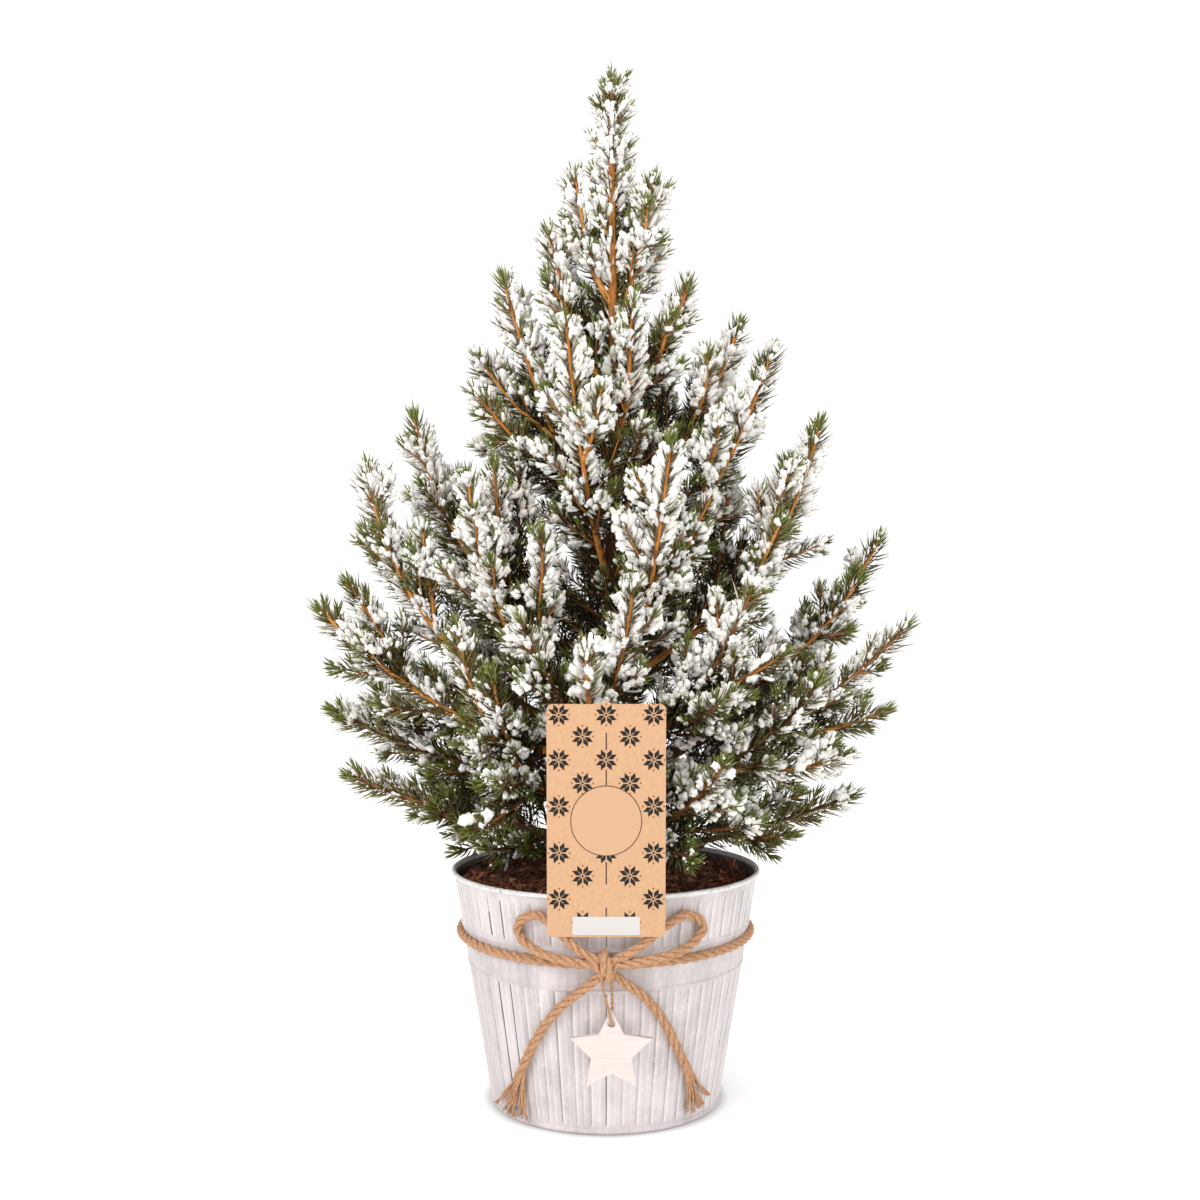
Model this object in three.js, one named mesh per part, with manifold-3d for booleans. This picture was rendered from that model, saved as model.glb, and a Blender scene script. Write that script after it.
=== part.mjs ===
// A potted dwarf alberta spruce, frosted with white flock, in a fluted zinc pot with a rope bow,
// a hanging wooden star and a card tag. Millimetres, +Z up, the photographed front faces -Y.
// The origin is the centre of the pot's flat underside.
import * as THREE from "three";
import { mergeVertices } from "three/addons/utils/BufferGeometryUtils.js";
import Module from "manifold-3d";

const wasm = await Module();
wasm.setup();

// Clearance between neighbours that touch in the real plant.
const GAP = 0.3;

// Pot: a tapering sheet-metal wall of FLUTES shallow flats with a rolled rim.
const FLUTES = 52;
const POT_FOOT_RADIUS = 57.1;
const POT_FLARE = 0.1685;
const POT_WALL = 1;
const POT_FLOOR = 1.2;
const RIM_RADIUS = 77.9;
const RIM_TOP = 115.9;
const BAND_LOW = 70.2;
const BAND_HIGH = 89.5;
const BEAD = 0.4;

// Soil and trunk.
const SOIL_EDGE = 110;
const SOIL_TOP = 112.2;
const TRUNK_FOOT = SOIL_TOP + GAP;
const TRUNK_TIP = 470;
const TRUNK_RADIUS = 5.4;
const TRUNK_TIP_RADIUS = 1.3;
const ROOT_FLARE = 3.6;
const ROOT_FLARE_RISE = 6;
const TRUNK_BENDS = [
  [0, 2, TRUNK_FOOT],
  [1.5, 1, 200],
  [4.3, 0, 310],
  [3.9, 0, 390],
  [3, 0, TRUNK_TIP],
  [2.8, 0, 516],
];

// Limbs. Each leaves the trunk at the height foot and ends at the height tip, reach away from the
// pot's axis, on the side given in degrees from +X round towards +Y (180 left, 270 front).
// sweep is the share of its reach that it spends low before it turns up. A limb with a bough has
// that share of it bare, in a node of its own. A fork leaves the limb at a share of its length and
// has a side, reach and tip of its own.
const LIMBS = [
  { name: "low_right", foot: 120, side: 354, reach: 124, tip: 153, sweep: 0.6, bough: 0.36,
    forks: [[0.5, 342, 104, 134]] },
  { name: "low_front_right", foot: 133, side: 302, reach: 101, tip: 178, sweep: 0.7,
    forks: [[0.4, 316, 96, 148], [0.35, 297, 86, 134]] },
  { name: "front_left", foot: 137, side: 221, reach: 92, tip: 238, sweep: 0.85, bough: 0.3,
    forks: [[0.36, 228, 95, 144], [0.45, 235, 91, 216], [0.4, 236, 90, 168]] },
  { name: "low_left", foot: 127, side: 181, reach: 130, tip: 162, sweep: 0.6, bough: 0.36,
    forks: [[0.42, 195, 100, 142]] },
  { name: "low_back_left", foot: 118, side: 140, reach: 119, tip: 160, sweep: 0.65, bough: 0.36,
    forks: [[0.45, 158, 112, 150]] },
  { name: "low_back_right", foot: 130, side: 40, reach: 121, tip: 162, sweep: 0.65, bough: 0.36,
    forks: [[0.45, 22, 114, 146]] },
  { name: "back", foot: 141, side: 90, reach: 124, tip: 214, sweep: 0.75, bough: 0.34,
    forks: [[0.4, 106, 114, 150], [0.4, 70, 114, 158]] },
  { name: "spreading_left", foot: 147, side: 176, reach: 141, tip: 194, sweep: 0.5, bough: 0.34,
    forks: [[0.5, 169, 124, 206]] },
  { name: "rising_left", foot: 167, side: 188, reach: 142, tip: 246, sweep: 0.66,
    forks: [[0.6, 183, 129, 259]] },
  { name: "snowy_front", foot: 158, side: 264, reach: 89, tip: 230, sweep: 0.8,
    forks: [[0.4, 280, 72, 258], [0.4, 238, 76, 242]] },
  { name: "diagonal_right", foot: 167, side: 318, reach: 92, tip: 257, sweep: 0.6,
    forks: [[0.4, 301, 99, 204], [0.5, 326, 100, 226]] },
  { name: "spreading_right", foot: 152, side: 356, reach: 151, tip: 238, sweep: 0.62, bough: 0.34,
    forks: [[0.5, 352, 140, 196]] },
  { name: "front_right", foot: 142, side: 332, reach: 114, tip: 213, sweep: 0.66,
    forks: [[0.5, 341, 122, 176]] },
  { name: "back_right", foot: 163, side: 26, reach: 133, tip: 224, sweep: 0.68, bough: 0.34,
    forks: [[0.5, 42, 126, 210]] },
  { name: "back_left", foot: 157, side: 128, reach: 132, tip: 234, sweep: 0.7, bough: 0.34,
    forks: [[0.5, 146, 128, 214]] },
  { name: "tall_left", foot: 176, side: 184, reach: 120, tip: 317, sweep: 0.84, bough: 0.36,
    forks: [[0.62, 177, 124, 286], [0.55, 190, 92, 288]] },
  { name: "tall_front_left", foot: 186, side: 212, reach: 78, tip: 310, sweep: 0.85,
    forks: [[0.45, 203, 60, 318], [0.3, 240, 60, 283]] },
  { name: "tall_front_right", foot: 196, side: 299, reach: 63, tip: 324, sweep: 0.8,
    forks: [[0.4, 325, 62, 300]] },
  { name: "tall_right", foot: 206, side: 358, reach: 108, tip: 339, sweep: 0.74,
    forks: [[0.5, 350, 118, 300], [0.4, 338, 92, 290]] },
  { name: "outer_right", foot: 176, side: 12, reach: 148, tip: 283, sweep: 0.74,
    forks: [[0.55, 5, 132, 262]] },
  { name: "tall_back_right", foot: 194, side: 56, reach: 108, tip: 306, sweep: 0.8,
    forks: [[0.5, 38, 110, 278]] },
  { name: "tall_back", foot: 204, side: 98, reach: 96, tip: 322, sweep: 0.8,
    forks: [[0.5, 80, 98, 286]] },
  { name: "tall_back_left", foot: 199, side: 146, reach: 112, tip: 310, sweep: 0.8,
    forks: [[0.5, 126, 108, 282]] },
  { name: "outer_left", foot: 218, side: 168, reach: 102, tip: 346, sweep: 0.78,
    forks: [[0.5, 158, 92, 318]] },
  { name: "upper_left", foot: 282, side: 176, reach: 52, tip: 414, sweep: 0.55,
    forks: [[0.4, 182, 65, 374], [0.2, 194, 68, 354]] },
  { name: "upper_front", foot: 258, side: 245, reach: 45, tip: 384, sweep: 0.75,
    forks: [[0.5, 268, 48, 352]] },
  { name: "upper_right", foot: 292, side: 12, reach: 71, tip: 393, sweep: 0.6,
    forks: [[0.5, 350, 52, 374]] },
  { name: "upper_front_right", foot: 262, side: 352, reach: 84, tip: 375, sweep: 0.66,
    forks: [[0.42, 324, 67, 338]] },
  { name: "upper_back_right", foot: 284, side: 62, reach: 70, tip: 382, sweep: 0.66,
    forks: [[0.45, 40, 74, 352]] },
  { name: "upper_back_left", foot: 270, side: 124, reach: 70, tip: 386, sweep: 0.66,
    forks: [[0.45, 146, 76, 358]] },
  { name: "top_left", foot: 352, side: 182, reach: 38, tip: 433, sweep: 0.55,
    forks: [[0.45, 206, 34, 410]] },
  { name: "top_right", foot: 344, side: 10, reach: 43, tip: 412, sweep: 0.6,
    forks: [[0.45, 335, 36, 390]] },
  { name: "top_front", foot: 330, side: 296, reach: 30, tip: 396, sweep: 0.7, forks: [] },
  { name: "top_back", foot: 340, side: 92, reach: 36, tip: 424, sweep: 0.6,
    forks: [[0.45, 128, 36, 402]] },
  { name: "summit_left", foot: 400, side: 178, reach: 19, tip: 467, sweep: 0.6, forks: [] },
  { name: "summit_right", foot: 390, side: 2, reach: 28, tip: 463, sweep: 0.6,
    forks: [[0.4, 330, 24, 448]] },
];
const LIMB_RISE = 0.25;
const LIMB_RADIUS = 2.5;
const LIMB_RADIUS_PER_REACH = 0.009;
const SHOOT_TIP_RADIUS = 1.5;
const FORK_SAG = 0.14;
const FORK_THICKNESS = 0.5;
const STEM_END = 0.95;

// Twigs and needles, which stand for the real plant's finer ones.
const GOLDEN_ANGLE = THREE.MathUtils.degToRad(137.5);
const TWIG_EVERY = 58;
const TWIG_SHARE = 0.42;
const TWIG_SHORTEST = 13;
const TWIG_LONGEST = 34;
const TWIG_THICKNESS = 0.5;
const TWIG_TIP_RADIUS = 1;
const TWIG_ROOM = 1.2;
const TWIG_LEAN = THREE.MathUtils.degToRad(48);
const NEEDLE_EVERY = 22.5;
const NEEDLE_LENGTH = 22;
const NEEDLE_RADIUS = 2.1;
const NEEDLE_LEAN = THREE.MathUtils.degToRad(50);
const TUFT_NEEDLES = 2;
const TUFT_STEP = 3;
const TUFT_SHARE = 0.66;
const TUFT_LEAN = THREE.MathUtils.degToRad(28);
const NEEDLES_FROM = 0.22;
const SPACE_STEP = 5;
// Room that twigs and needles leave beside the trunk, a bough, another mass's shoots and the tag.
const TRUNK_ROOM = 0.6;
const BOUGH_ROOM = 0.8;
const SHOOT_ROOM = 1;
const TAG_ROOM = 3;
const POT_ROOM = 3;
const RIM_INSIDE = 64;

// Card tag, in front of the rim.
const TAG_WIDTH = 53.4;
const TAG_HEIGHT = 106;
const TAG_THICKNESS = 0.8;
const TAG_CORNER = 2.7;
const TAG_LOW = 98.4;
const TAG_BACK_Y = -80.2;
const TAG_LEAN = THREE.MathUtils.degToRad(4.5);

// Rope round the pot, its knot, bow loops and tails.
const ROPE_RADIUS = 2.3;
const ROPE_OFF_WALL = ROPE_RADIUS + 0.7;
const ROPE_HEIGHT = 85.2;
const ROPE_DIP = 1.3;
const BAND_STEPS = 36;
const KNOT_SIZE = [5.4, 5.6, 7.4];
const KNOT_CENTRE = [-0.2, -77.9, 83.8];
// Routes of the bow: place across, height, and distance of the rope's centre from the wall.
const LEFT_LOOP_LOW = [[0, 84.6, 7], [-12, 86, 8.2], [-24, 88, 8], [-32.5, 90.2, 6.4], [-38.6, 93.8, 3.6],
  [-40.8, 98, 2.9], [-39.2, 103, 2.9], [-33.4, 106, 2.9], [-27, 104.6, 3.6]];
const LEFT_LOOP_HIGH = [[-29.5, 105.6, 3.2], [-22.5, 101, 5.7], [-16.5, 95.4, 6.9], [-11.5, 91, 7],
  [0, 85.6, 7]];
const RIGHT_LOOP_LOW = [[0, 84.6, 7], [16, 86.4, 8.2], [28.5, 88.4, 8], [37, 90.8, 6.4], [42.6, 94.2, 3.6],
  [45.2, 98, 2.9], [43.2, 102.6, 2.9], [38, 105.4, 2.9], [31, 104.2, 3.6]];
const RIGHT_LOOP_HIGH = [[33.8, 105, 3.2], [26, 101, 5.2], [18.4, 95.4, 6.2], [11.5, 91, 7],
  [0, 85.6, 7]];
const LEFT_TAIL = [[0, 82, 7], [-6.8, 76.2, 6.4], [-14, 69.6, 3.9], [-22.4, 61.4, 3], [-29.6, 51.2, 2.9],
  [-35, 41, 2.9], [-39.2, 30, 2.8], [-41.4, 22.5, 2.7]];
const RIGHT_TAIL = [[0, 82, 7], [8.4, 76.2, 6.4], [16.4, 69.6, 4], [22.8, 61.6, 3], [28.2, 52.4, 2.9],
  [33.2, 41.4, 2.9], [37.6, 31, 2.8], [40.2, 23.5, 2.7]];
const LEFT_FRAY_END = [-46.2, 5.4, 2.4];
const RIGHT_FRAY_END = [44.4, 8.4, 2.4];
const FRAY_WIDTH = 7.2;
const FRAY_DEPTH = 2;

// Wooden star on its twine.
const STAR_POINT = 19.9;
const STAR_NOTCH = 9.8;
const STAR_THICKNESS = 3.2;
const STAR_HOLE_RADIUS = 1.6;
const STAR_HOLE_BELOW_POINT = 7;
const STAR_HOLE_AT = [2.4, -73.4, 57.4];
const TWINE_RADIUS = 0.55;
const TWINE_ROUTE = [[-1.8, -77.6, 80], [-1.5, -77.4, 75], [-0.4, -76.9, 69.5], [1.2, -76.4, 64],
  [2, -76.1, 59.8], [2.4, -75.4, 57], [2.4, -73.4, 56.6], [2.5, -71.4, 57], [2.7, -70.7, 59.6],
  [2.8, -71.2, 65.2], [2.7, -73.8, 70.4], [2.4, -76.6, 75], [2.2, -77.4, 80]];

const materials = {
  zinc: new THREE.MeshStandardMaterial({ color: 0xd9d7d6, roughness: 0.55, metalness: 0.35 }),
  soil: new THREE.MeshStandardMaterial({ color: 0x2b1a12, roughness: 1, metalness: 0 }),
  bark: new THREE.MeshStandardMaterial({ color: 0x8a5228, roughness: 0.9, metalness: 0 }),
  needles: new THREE.MeshStandardMaterial({ color: 0x5d6f55, roughness: 0.8, metalness: 0 }),
  rope: new THREE.MeshStandardMaterial({ color: 0xb78a56, roughness: 0.95, metalness: 0 }),
  card: new THREE.MeshStandardMaterial({ color: 0xe3b488, roughness: 0.85, metalness: 0 }),
  wood: new THREE.MeshStandardMaterial({ color: 0xece6df, roughness: 0.8, metalness: 0 }),
};

const tree = new THREE.Group();

// Solids and meshes

function solidOf(geometry) {
  geometry.deleteAttribute("normal");
  geometry.deleteAttribute("uv");
  const merged = mergeVertices(geometry, 1e-4);
  return new wasm.Manifold(
    new wasm.Mesh({
      numProp: 3,
      vertProperties: merged.attributes.position.array,
      triVerts: new Uint32Array(merged.index.array),
    }),
  );
}

function geometryOf(solid) {
  const mesh = solid.getMesh();
  const geometry = new THREE.BufferGeometry();
  geometry.setAttribute("position", new THREE.BufferAttribute(mesh.vertProperties, 3));
  geometry.setIndex(new THREE.BufferAttribute(mesh.triVerts, 1));
  geometry.computeVertexNormals();
  return geometry;
}

// The largest body of a solid: scraps that nothing joins to it are dropped.
function mainBody(solid) {
  return solid.decompose().reduce((best, body) => (body.volume() > best.volume() ? body : best));
}

function addNode(name, geometry, material, parent = tree) {
  const mesh = new THREE.Mesh(geometry, material);
  mesh.name = name;
  parent.add(mesh);
  return mesh;
}

// A profile of [radius, height] turned round the vertical axis.
function turned(profile, segments) {
  const points = profile.map(([radius, height]) => new THREE.Vector2(radius, height));
  return new THREE.LatheGeometry(points, segments).rotateX(Math.PI / 2);
}

// A closed tapering tube: a cylinder whose rings are moved onto a curve. The curve gives a point
// for a share from 0 to 1, and across is a direction that the curve never runs along.
function tube(curve, radiusAt, across, sides, steps, from = 0, to = 1) {
  const geometry = new THREE.CylinderGeometry(1, 1, 1, sides, steps);
  const places = geometry.attributes.position;
  const along = new THREE.Vector3();
  const side = new THREE.Vector3();
  const other = new THREE.Vector3();
  for (let i = 0; i < places.count; i += 1) {
    const share = from + (places.getY(i) + 0.5) * (to - from);
    const radius = radiusAt(share);
    along.copy(curve.getTangent(share));
    side.copy(across).addScaledVector(along, -across.dot(along)).normalize();
    other.crossVectors(side, along);
    const centre = curve.getPoint(share);
    centre.addScaledVector(side, places.getX(i) * radius);
    centre.addScaledVector(other, places.getZ(i) * radius);
    places.setXYZ(i, centre.x, centre.y, centre.z);
  }
  return geometry;
}

function randomNumbers(seed) {
  let state = seed;
  return () => {
    state = (state * 1664525 + 1013904223) % 4294967296;
    return state / 4294967296;
  };
}

// Pot and soil

function wallRadius(height) {
  return POT_FOOT_RADIUS + POT_FLARE * height;
}

function pot() {
  const neck = RIM_TOP - 4.4;
  const inside = (height) => wallRadius(height) - POT_WALL;
  return turned(
    [
      [0, 0],
      [56.8, 0],
      [58.1, 1.6],
      [wallRadius(3.6), 3.6],
      [wallRadius(BAND_LOW) + BEAD, BAND_LOW],
      [wallRadius(BAND_HIGH) + BEAD, BAND_HIGH],
      [wallRadius(neck), neck],
      [RIM_RADIUS - 0.5, neck + 0.8],
      [RIM_RADIUS, neck + 2.4],
      [RIM_RADIUS - 0.7, RIM_TOP - 0.4],
      [RIM_RADIUS - 2, RIM_TOP],
      [inside(neck + 2.6), neck + 2.6],
      [inside(POT_FLOOR), POT_FLOOR],
      [0, POT_FLOOR],
    ],
    FLUTES,
  );
}

function soil() {
  const inside = (height) => wallRadius(height) - POT_WALL - GAP;
  const bottom = POT_FLOOR + GAP;
  return turned(
    [
      [0, bottom],
      [inside(bottom), bottom],
      [inside(SOIL_EDGE), SOIL_EDGE],
      [52, SOIL_EDGE + 1.2],
      [14, SOIL_TOP],
      [0, SOIL_TOP],
    ],
    FLUTES,
  );
}

// Trunk

const trunkLine = new THREE.CatmullRomCurve3(TRUNK_BENDS.map((place) => new THREE.Vector3(...place)));

// The trunk's centre at a height, found along its line by halving.
function trunkCentre(height) {
  let low = 0;
  let high = 1;
  for (let i = 0; i < 24; i += 1) {
    const middle = (low + high) / 2;
    if (trunkLine.getPoint(middle).z < height) low = middle;
    else high = middle;
  }
  return trunkLine.getPoint(low);
}

function trunkRadius(height) {
  const rise = Math.min((height - TRUNK_FOOT) / (TRUNK_TIP - TRUNK_FOOT), 1);
  const flare = ROOT_FLARE * Math.exp(-(height - TRUNK_FOOT) / ROOT_FLARE_RISE);
  return TRUNK_RADIUS + (TRUNK_TIP_RADIUS - TRUNK_RADIUS) * rise ** 0.9 + flare;
}

const TRUNK_RINGS = [0, 3, 8, 18, 50, 90, 130, 170, 205, 240, 275, 310, 340];

// The trunk as a stack of rings, level at its foot, fatter by more when it cuts its neighbours.
function trunk(more) {
  const heights = [...TRUNK_RINGS.map((rise) => TRUNK_FOOT + rise), TRUNK_TIP];
  const geometry = new THREE.CylinderGeometry(1, 1, 1, 10, heights.length - 1);
  const places = geometry.attributes.position;
  for (let i = 0; i < places.count; i += 1) {
    const ring = Math.round((places.getY(i) + 0.5) * (heights.length - 1));
    const height = heights[ring];
    const ended = ring === 0 ? -more : ring === heights.length - 1 ? more : 0;
    const radius = trunkRadius(height) + more;
    const centre = trunkCentre(height);
    const x = centre.x + places.getX(i) * radius;
    const y = centre.y - places.getZ(i) * radius;
    places.setXYZ(i, x, y, height + ended);
  }
  return geometry;
}

// Limbs: curves of every bough, stem and fork

function place(side, reach, height) {
  const turn = THREE.MathUtils.degToRad(side);
  return new THREE.Vector3(reach * Math.cos(turn), reach * Math.sin(turn), height);
}

function limbCurve(limb) {
  const root = trunkCentre(limb.foot);
  const tip = place(limb.side, limb.reach, limb.tip);
  const bend = root.clone().lerp(tip, limb.sweep);
  bend.z = limb.foot + (limb.tip - limb.foot) * LIMB_RISE;
  return new THREE.QuadraticBezierCurve3(root, bend, tip);
}

function forkCurve(limbLine, [share, side, reach, height]) {
  const root = limbLine.getPoint(share);
  const tip = place(side, reach, height);
  const bend = root.clone().lerp(tip, 0.5);
  bend.z -= FORK_SAG * root.distanceTo(tip);
  return new THREE.QuadraticBezierCurve3(root, bend, tip);
}

// A direction square to the plane that a curve bends in.
function acrossOf(curve) {
  const chord = curve.getPoint(1).sub(curve.getPoint(0));
  const across = new THREE.Vector3(-chord.y, chord.x, 0);
  return across.length() < 1e-3 ? new THREE.Vector3(0, 1, 0) : across.normalize();
}

function limbRadius(limb) {
  const thick = LIMB_RADIUS + LIMB_RADIUS_PER_REACH * limb.reach;
  return (share) => thick + (SHOOT_TIP_RADIUS - thick) * share ** 0.8;
}

function grownLimb(limb) {
  const line = limbCurve(limb);
  const radiusAt = limbRadius(limb);
  const bare = limb.bough ?? 0;
  const stem = { line, radiusAt, leafy: bare || NEEDLES_FROM, to: STEM_END, length: line.getLength() };
  const forks = limb.forks.map((fork) => {
    const curve = forkCurve(line, fork);
    const thick = radiusAt(fork[0]) * FORK_THICKNESS;
    const taper = (share) => thick + (SHOOT_TIP_RADIUS - thick) * share;
    return { line: curve, radiusAt: taper, leafy: 0, to: STEM_END, length: curve.getLength() };
  });
  return { ...limb, line, radiusAt, bare, shoots: [stem, ...forks] };
}

// The crown's tip is a limb of its own that goes on up from the trunk's end.
function crownTip() {
  const top = trunkLine.getPoint(1);
  const root = trunkCentre(TRUNK_TIP);
  const bend = root.clone().lerp(top, 0.5);
  const line = new THREE.QuadraticBezierCurve3(root, bend, top);
  const radiusAt = (share) => TRUNK_TIP_RADIUS + (SHOOT_TIP_RADIUS - TRUNK_TIP_RADIUS) * share;
  const stem = { line, radiusAt, leafy: 0.08, to: STEM_END, length: line.getLength() };
  return { name: "crown_tip", line, radiusAt, bare: 0, shoots: [stem] };
}

const limbs = [...LIMBS.map(grownLimb), crownTip()];

// Points along every limb, with the limb's thickness there: a mass owns the space that is nearer to
// its own limb than to any other.
const skeleton = limbs.flatMap((limb, owner) =>
  limb.shoots.flatMap((shoot, order) => {
    const count = Math.ceil(shoot.length / SPACE_STEP);
    return Array.from({ length: count + 1 }, (_, i) => {
      const share = i / count;
      const bough = order === 0 && share < limb.bare + 0.02;
      return { at: shoot.line.getPoint(share), thick: shoot.radiusAt(share), owner, shoot, bough };
    });
  }),
);

// Whether a straight twig or needle of a shoot keeps to its own mass's space, clear of every other
// shoot, the trunk, the pot and the tag.
function keepsClear(owner, shoot, root, end, radiusAt) {
  const point = new THREE.Vector3();
  for (const share of [0.2, 0.35, 0.5, 0.65, 0.8, 1]) {
    point.lerpVectors(root, end, share);
    const radius = radiusAt(share);
    const out = Math.hypot(point.x, point.y);
    if (point.z < (out > RIM_INSIDE ? RIM_TOP : SOIL_TOP) + POT_ROOM) return false;
    const byTag = Math.abs(point.x) < TAG_WIDTH / 2 + TAG_ROOM && point.z < TAG_LOW + TAG_HEIGHT + TAG_ROOM;
    if (byTag && point.y < TAG_BACK_Y + TAG_ROOM + 1) return false;
    if (point.z < TRUNK_TIP + 2) {
      const centre = trunkCentre(point.z);
      const away = Math.hypot(point.x - centre.x, point.y - centre.y);
      if (away < trunkRadius(point.z) + radius + TRUNK_ROOM) return false;
    }
    let own = Infinity;
    let others = Infinity;
    for (const bone of skeleton) {
      const away = bone.at.distanceTo(point);
      if (bone.owner === owner) {
        own = Math.min(own, away);
        if (bone.bough && away < bone.thick + radius + BOUGH_ROOM) return false;
        if (bone.shoot !== shoot && share > 0.3 && away < bone.thick + radius) return false;
      } else {
        others = Math.min(others, away);
        if (away < bone.thick + radius + SHOOT_ROOM) return false;
      }
    }
    if (own + 2 * radius + TRUNK_ROOM > others) return false;
  }
  return true;
}

// Twigs and needles of a mass

function leaning(along, across, turn, lean) {
  const other = new THREE.Vector3().crossVectors(along, across).normalize();
  const level = new THREE.Vector3().crossVectors(other, along);
  return along
    .clone()
    .multiplyScalar(Math.cos(lean))
    .addScaledVector(level, Math.sin(lean) * Math.cos(turn))
    .addScaledVector(other, Math.sin(lean) * Math.sin(turn));
}

function needleRadius(share) {
  return NEEDLE_RADIUS * (1 - Math.abs(2 * share - 1));
}

// A three-sided spindle that stands for a spray of needles, its root sunk to the middle of its twig.
function needleSolid(root, direction, length) {
  const needle = new THREE.SphereGeometry(1, 3, 2).scale(NEEDLE_RADIUS, length / 2, NEEDLE_RADIUS);
  const turn = new THREE.Quaternion().setFromUnitVectors(new THREE.Vector3(0, 1, 0), direction);
  needle.translate(0, length / 2, 0).applyQuaternion(turn).translate(root.x, root.y, root.z);
  return solidOf(needle);
}

// Side twigs of a shoot, set round it at the golden angle and shorter towards its tip.
function sideTwigs(owner, shoot, random) {
  const across = acrossOf(shoot.line);
  const count = Math.floor((shoot.length * (shoot.to - shoot.leafy)) / TWIG_EVERY);
  const twigs = [];
  for (let i = 0; i < count; i += 1) {
    const share = shoot.leafy + ((i + 0.7) / (count + 1)) * (shoot.to - shoot.leafy);
    const root = shoot.line.getPoint(share);
    const left = (1 - share) * shoot.length;
    const wanted = TWIG_SHARE * left * (0.8 + 0.4 * random()) + 6;
    const length = Math.min(Math.max(wanted, TWIG_SHORTEST), TWIG_LONGEST);
    const direction = leaning(shoot.line.getTangent(share), across, i * GOLDEN_ANGLE, TWIG_LEAN);
    direction.z += 0.15;
    direction.normalize();
    const end = root.clone().addScaledVector(direction, length);
    if (left < TWIG_SHORTEST || !keepsClear(owner, shoot, root, end, () => TWIG_ROOM)) continue;
    const line = new THREE.LineCurve3(root, end);
    const thick = shoot.radiusAt(share) * TWIG_THICKNESS;
    const radiusAt = (along) => thick + (TWIG_TIP_RADIUS - thick) * along;
    twigs.push({ line, radiusAt, leafy: 0, to: 1, length });
  }
  return twigs;
}

// Needles along a shoot, and a closer tuft round its tip.
function needlesOf(owner, shoot, random) {
  const across = acrossOf(shoot.line);
  const solids = [];
  const count = Math.floor((shoot.length * (shoot.to - shoot.leafy)) / NEEDLE_EVERY);
  const grow = (share, turn, lean, length) => {
    const root = shoot.line.getPoint(share);
    const direction = leaning(shoot.line.getTangent(share), across, turn, lean);
    const end = root.clone().addScaledVector(direction, length);
    if (keepsClear(owner, shoot, root, end, needleRadius)) solids.push(needleSolid(root, direction, length));
  };
  for (let i = 0; i < count; i += 1) {
    const share = shoot.leafy + ((i + 0.5) / count) * (shoot.to - shoot.leafy);
    grow(share, i * GOLDEN_ANGLE + random(), NEEDLE_LEAN, NEEDLE_LENGTH * (0.85 + 0.3 * random()));
  }
  for (let i = 0; i < TUFT_NEEDLES; i += 1) {
    const share = shoot.to - (2 + i * TUFT_STEP) / shoot.length;
    grow(share, i * GOLDEN_ANGLE, TUFT_LEAN, NEEDLE_LENGTH * TUFT_SHARE);
  }
  return solids;
}

// One mass: the stem that goes on from its bough or the trunk, its forks, side twigs and needles.
function massSolid(limb, owner, trunkRoom) {
  const random = randomNumbers(owner * 7919 + 17);
  const [stem, ...forks] = limb.shoots;
  const start = limb.bare ? limb.bare + GAP / stem.length : 0;
  const stemSteps = Math.max(3, Math.round(stem.length / 34));
  const pieces = [
    solidOf(tube(stem.line, stem.radiusAt, acrossOf(stem.line), 3, stemSteps, start, stem.to)),
  ];
  forks.forEach((fork) => {
    pieces.push(solidOf(tube(fork.line, fork.radiusAt, acrossOf(fork.line), 3, 2, 0, fork.to)));
  });
  limb.shoots.forEach((shoot) => {
    const twigs = sideTwigs(owner, shoot, random);
    twigs.forEach((twig) => {
      pieces.push(solidOf(tube(twig.line, twig.radiusAt, acrossOf(twig.line), 3, 1)));
      pieces.push(...needlesOf(owner, twig, random));
    });
    pieces.push(...needlesOf(owner, shoot, random));
  });
  const whole = pieces.reduce((joined, piece) => joined.add(piece));
  return mainBody(limb.bare ? whole : whole.subtract(trunkRoom));
}

function boughSolid(limb, trunkRoom) {
  const steps = Math.max(3, Math.round((limb.line.getLength() * limb.bare) / 14));
  const whole = solidOf(tube(limb.line, limb.radiusAt, acrossOf(limb.line), 6, steps, 0, limb.bare));
  return mainBody(whole.subtract(trunkRoom));
}

// Rope, star and tag

// A place on the pot's front, across from the axis, at a height and a distance from the wall.
function onWall([across, height, off]) {
  const radius = wallRadius(height) + off;
  return new THREE.Vector3(across, -Math.sqrt(radius * radius - across * across), height);
}

function ropeTube(route, steps) {
  const line = new THREE.CatmullRomCurve3(route.map(onWall));
  return solidOf(tube(line, () => ROPE_RADIUS, new THREE.Vector3(0, 1, 0), 6, steps));
}

function knot(more) {
  const [wide, deep, high] = KNOT_SIZE.map((size) => size + more);
  return new THREE.SphereGeometry(1, 10, 7)
    .rotateX(Math.PI / 2)
    .scale(wide, deep, high)
    .translate(...KNOT_CENTRE);
}

// The rope's ring round the pot, from one side of the knot to the other by way of the back.
class RingLine extends THREE.Curve {
  getPoint(share, target = new THREE.Vector3()) {
    const turn = share * 2 * Math.PI - Math.PI / 2;
    const height = ROPE_HEIGHT + ROPE_DIP * Math.sin(turn);
    const radius = wallRadius(height) + ROPE_OFF_WALL;
    return target.set(radius * Math.cos(turn), radius * Math.sin(turn), height);
  }
}

function ropeBand(knotRoom) {
  const line = new RingLine();
  const ring = tube(line, () => ROPE_RADIUS, new THREE.Vector3(0, 0, 1), 6, BAND_STEPS, 0.006, 0.994);
  return mainBody(solidOf(ring).subtract(knotRoom));
}

function bowLoop(low, high, knotRoom) {
  return mainBody(ropeTube(low, 13).add(ropeTube(high, 6)).subtract(knotRoom));
}

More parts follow.
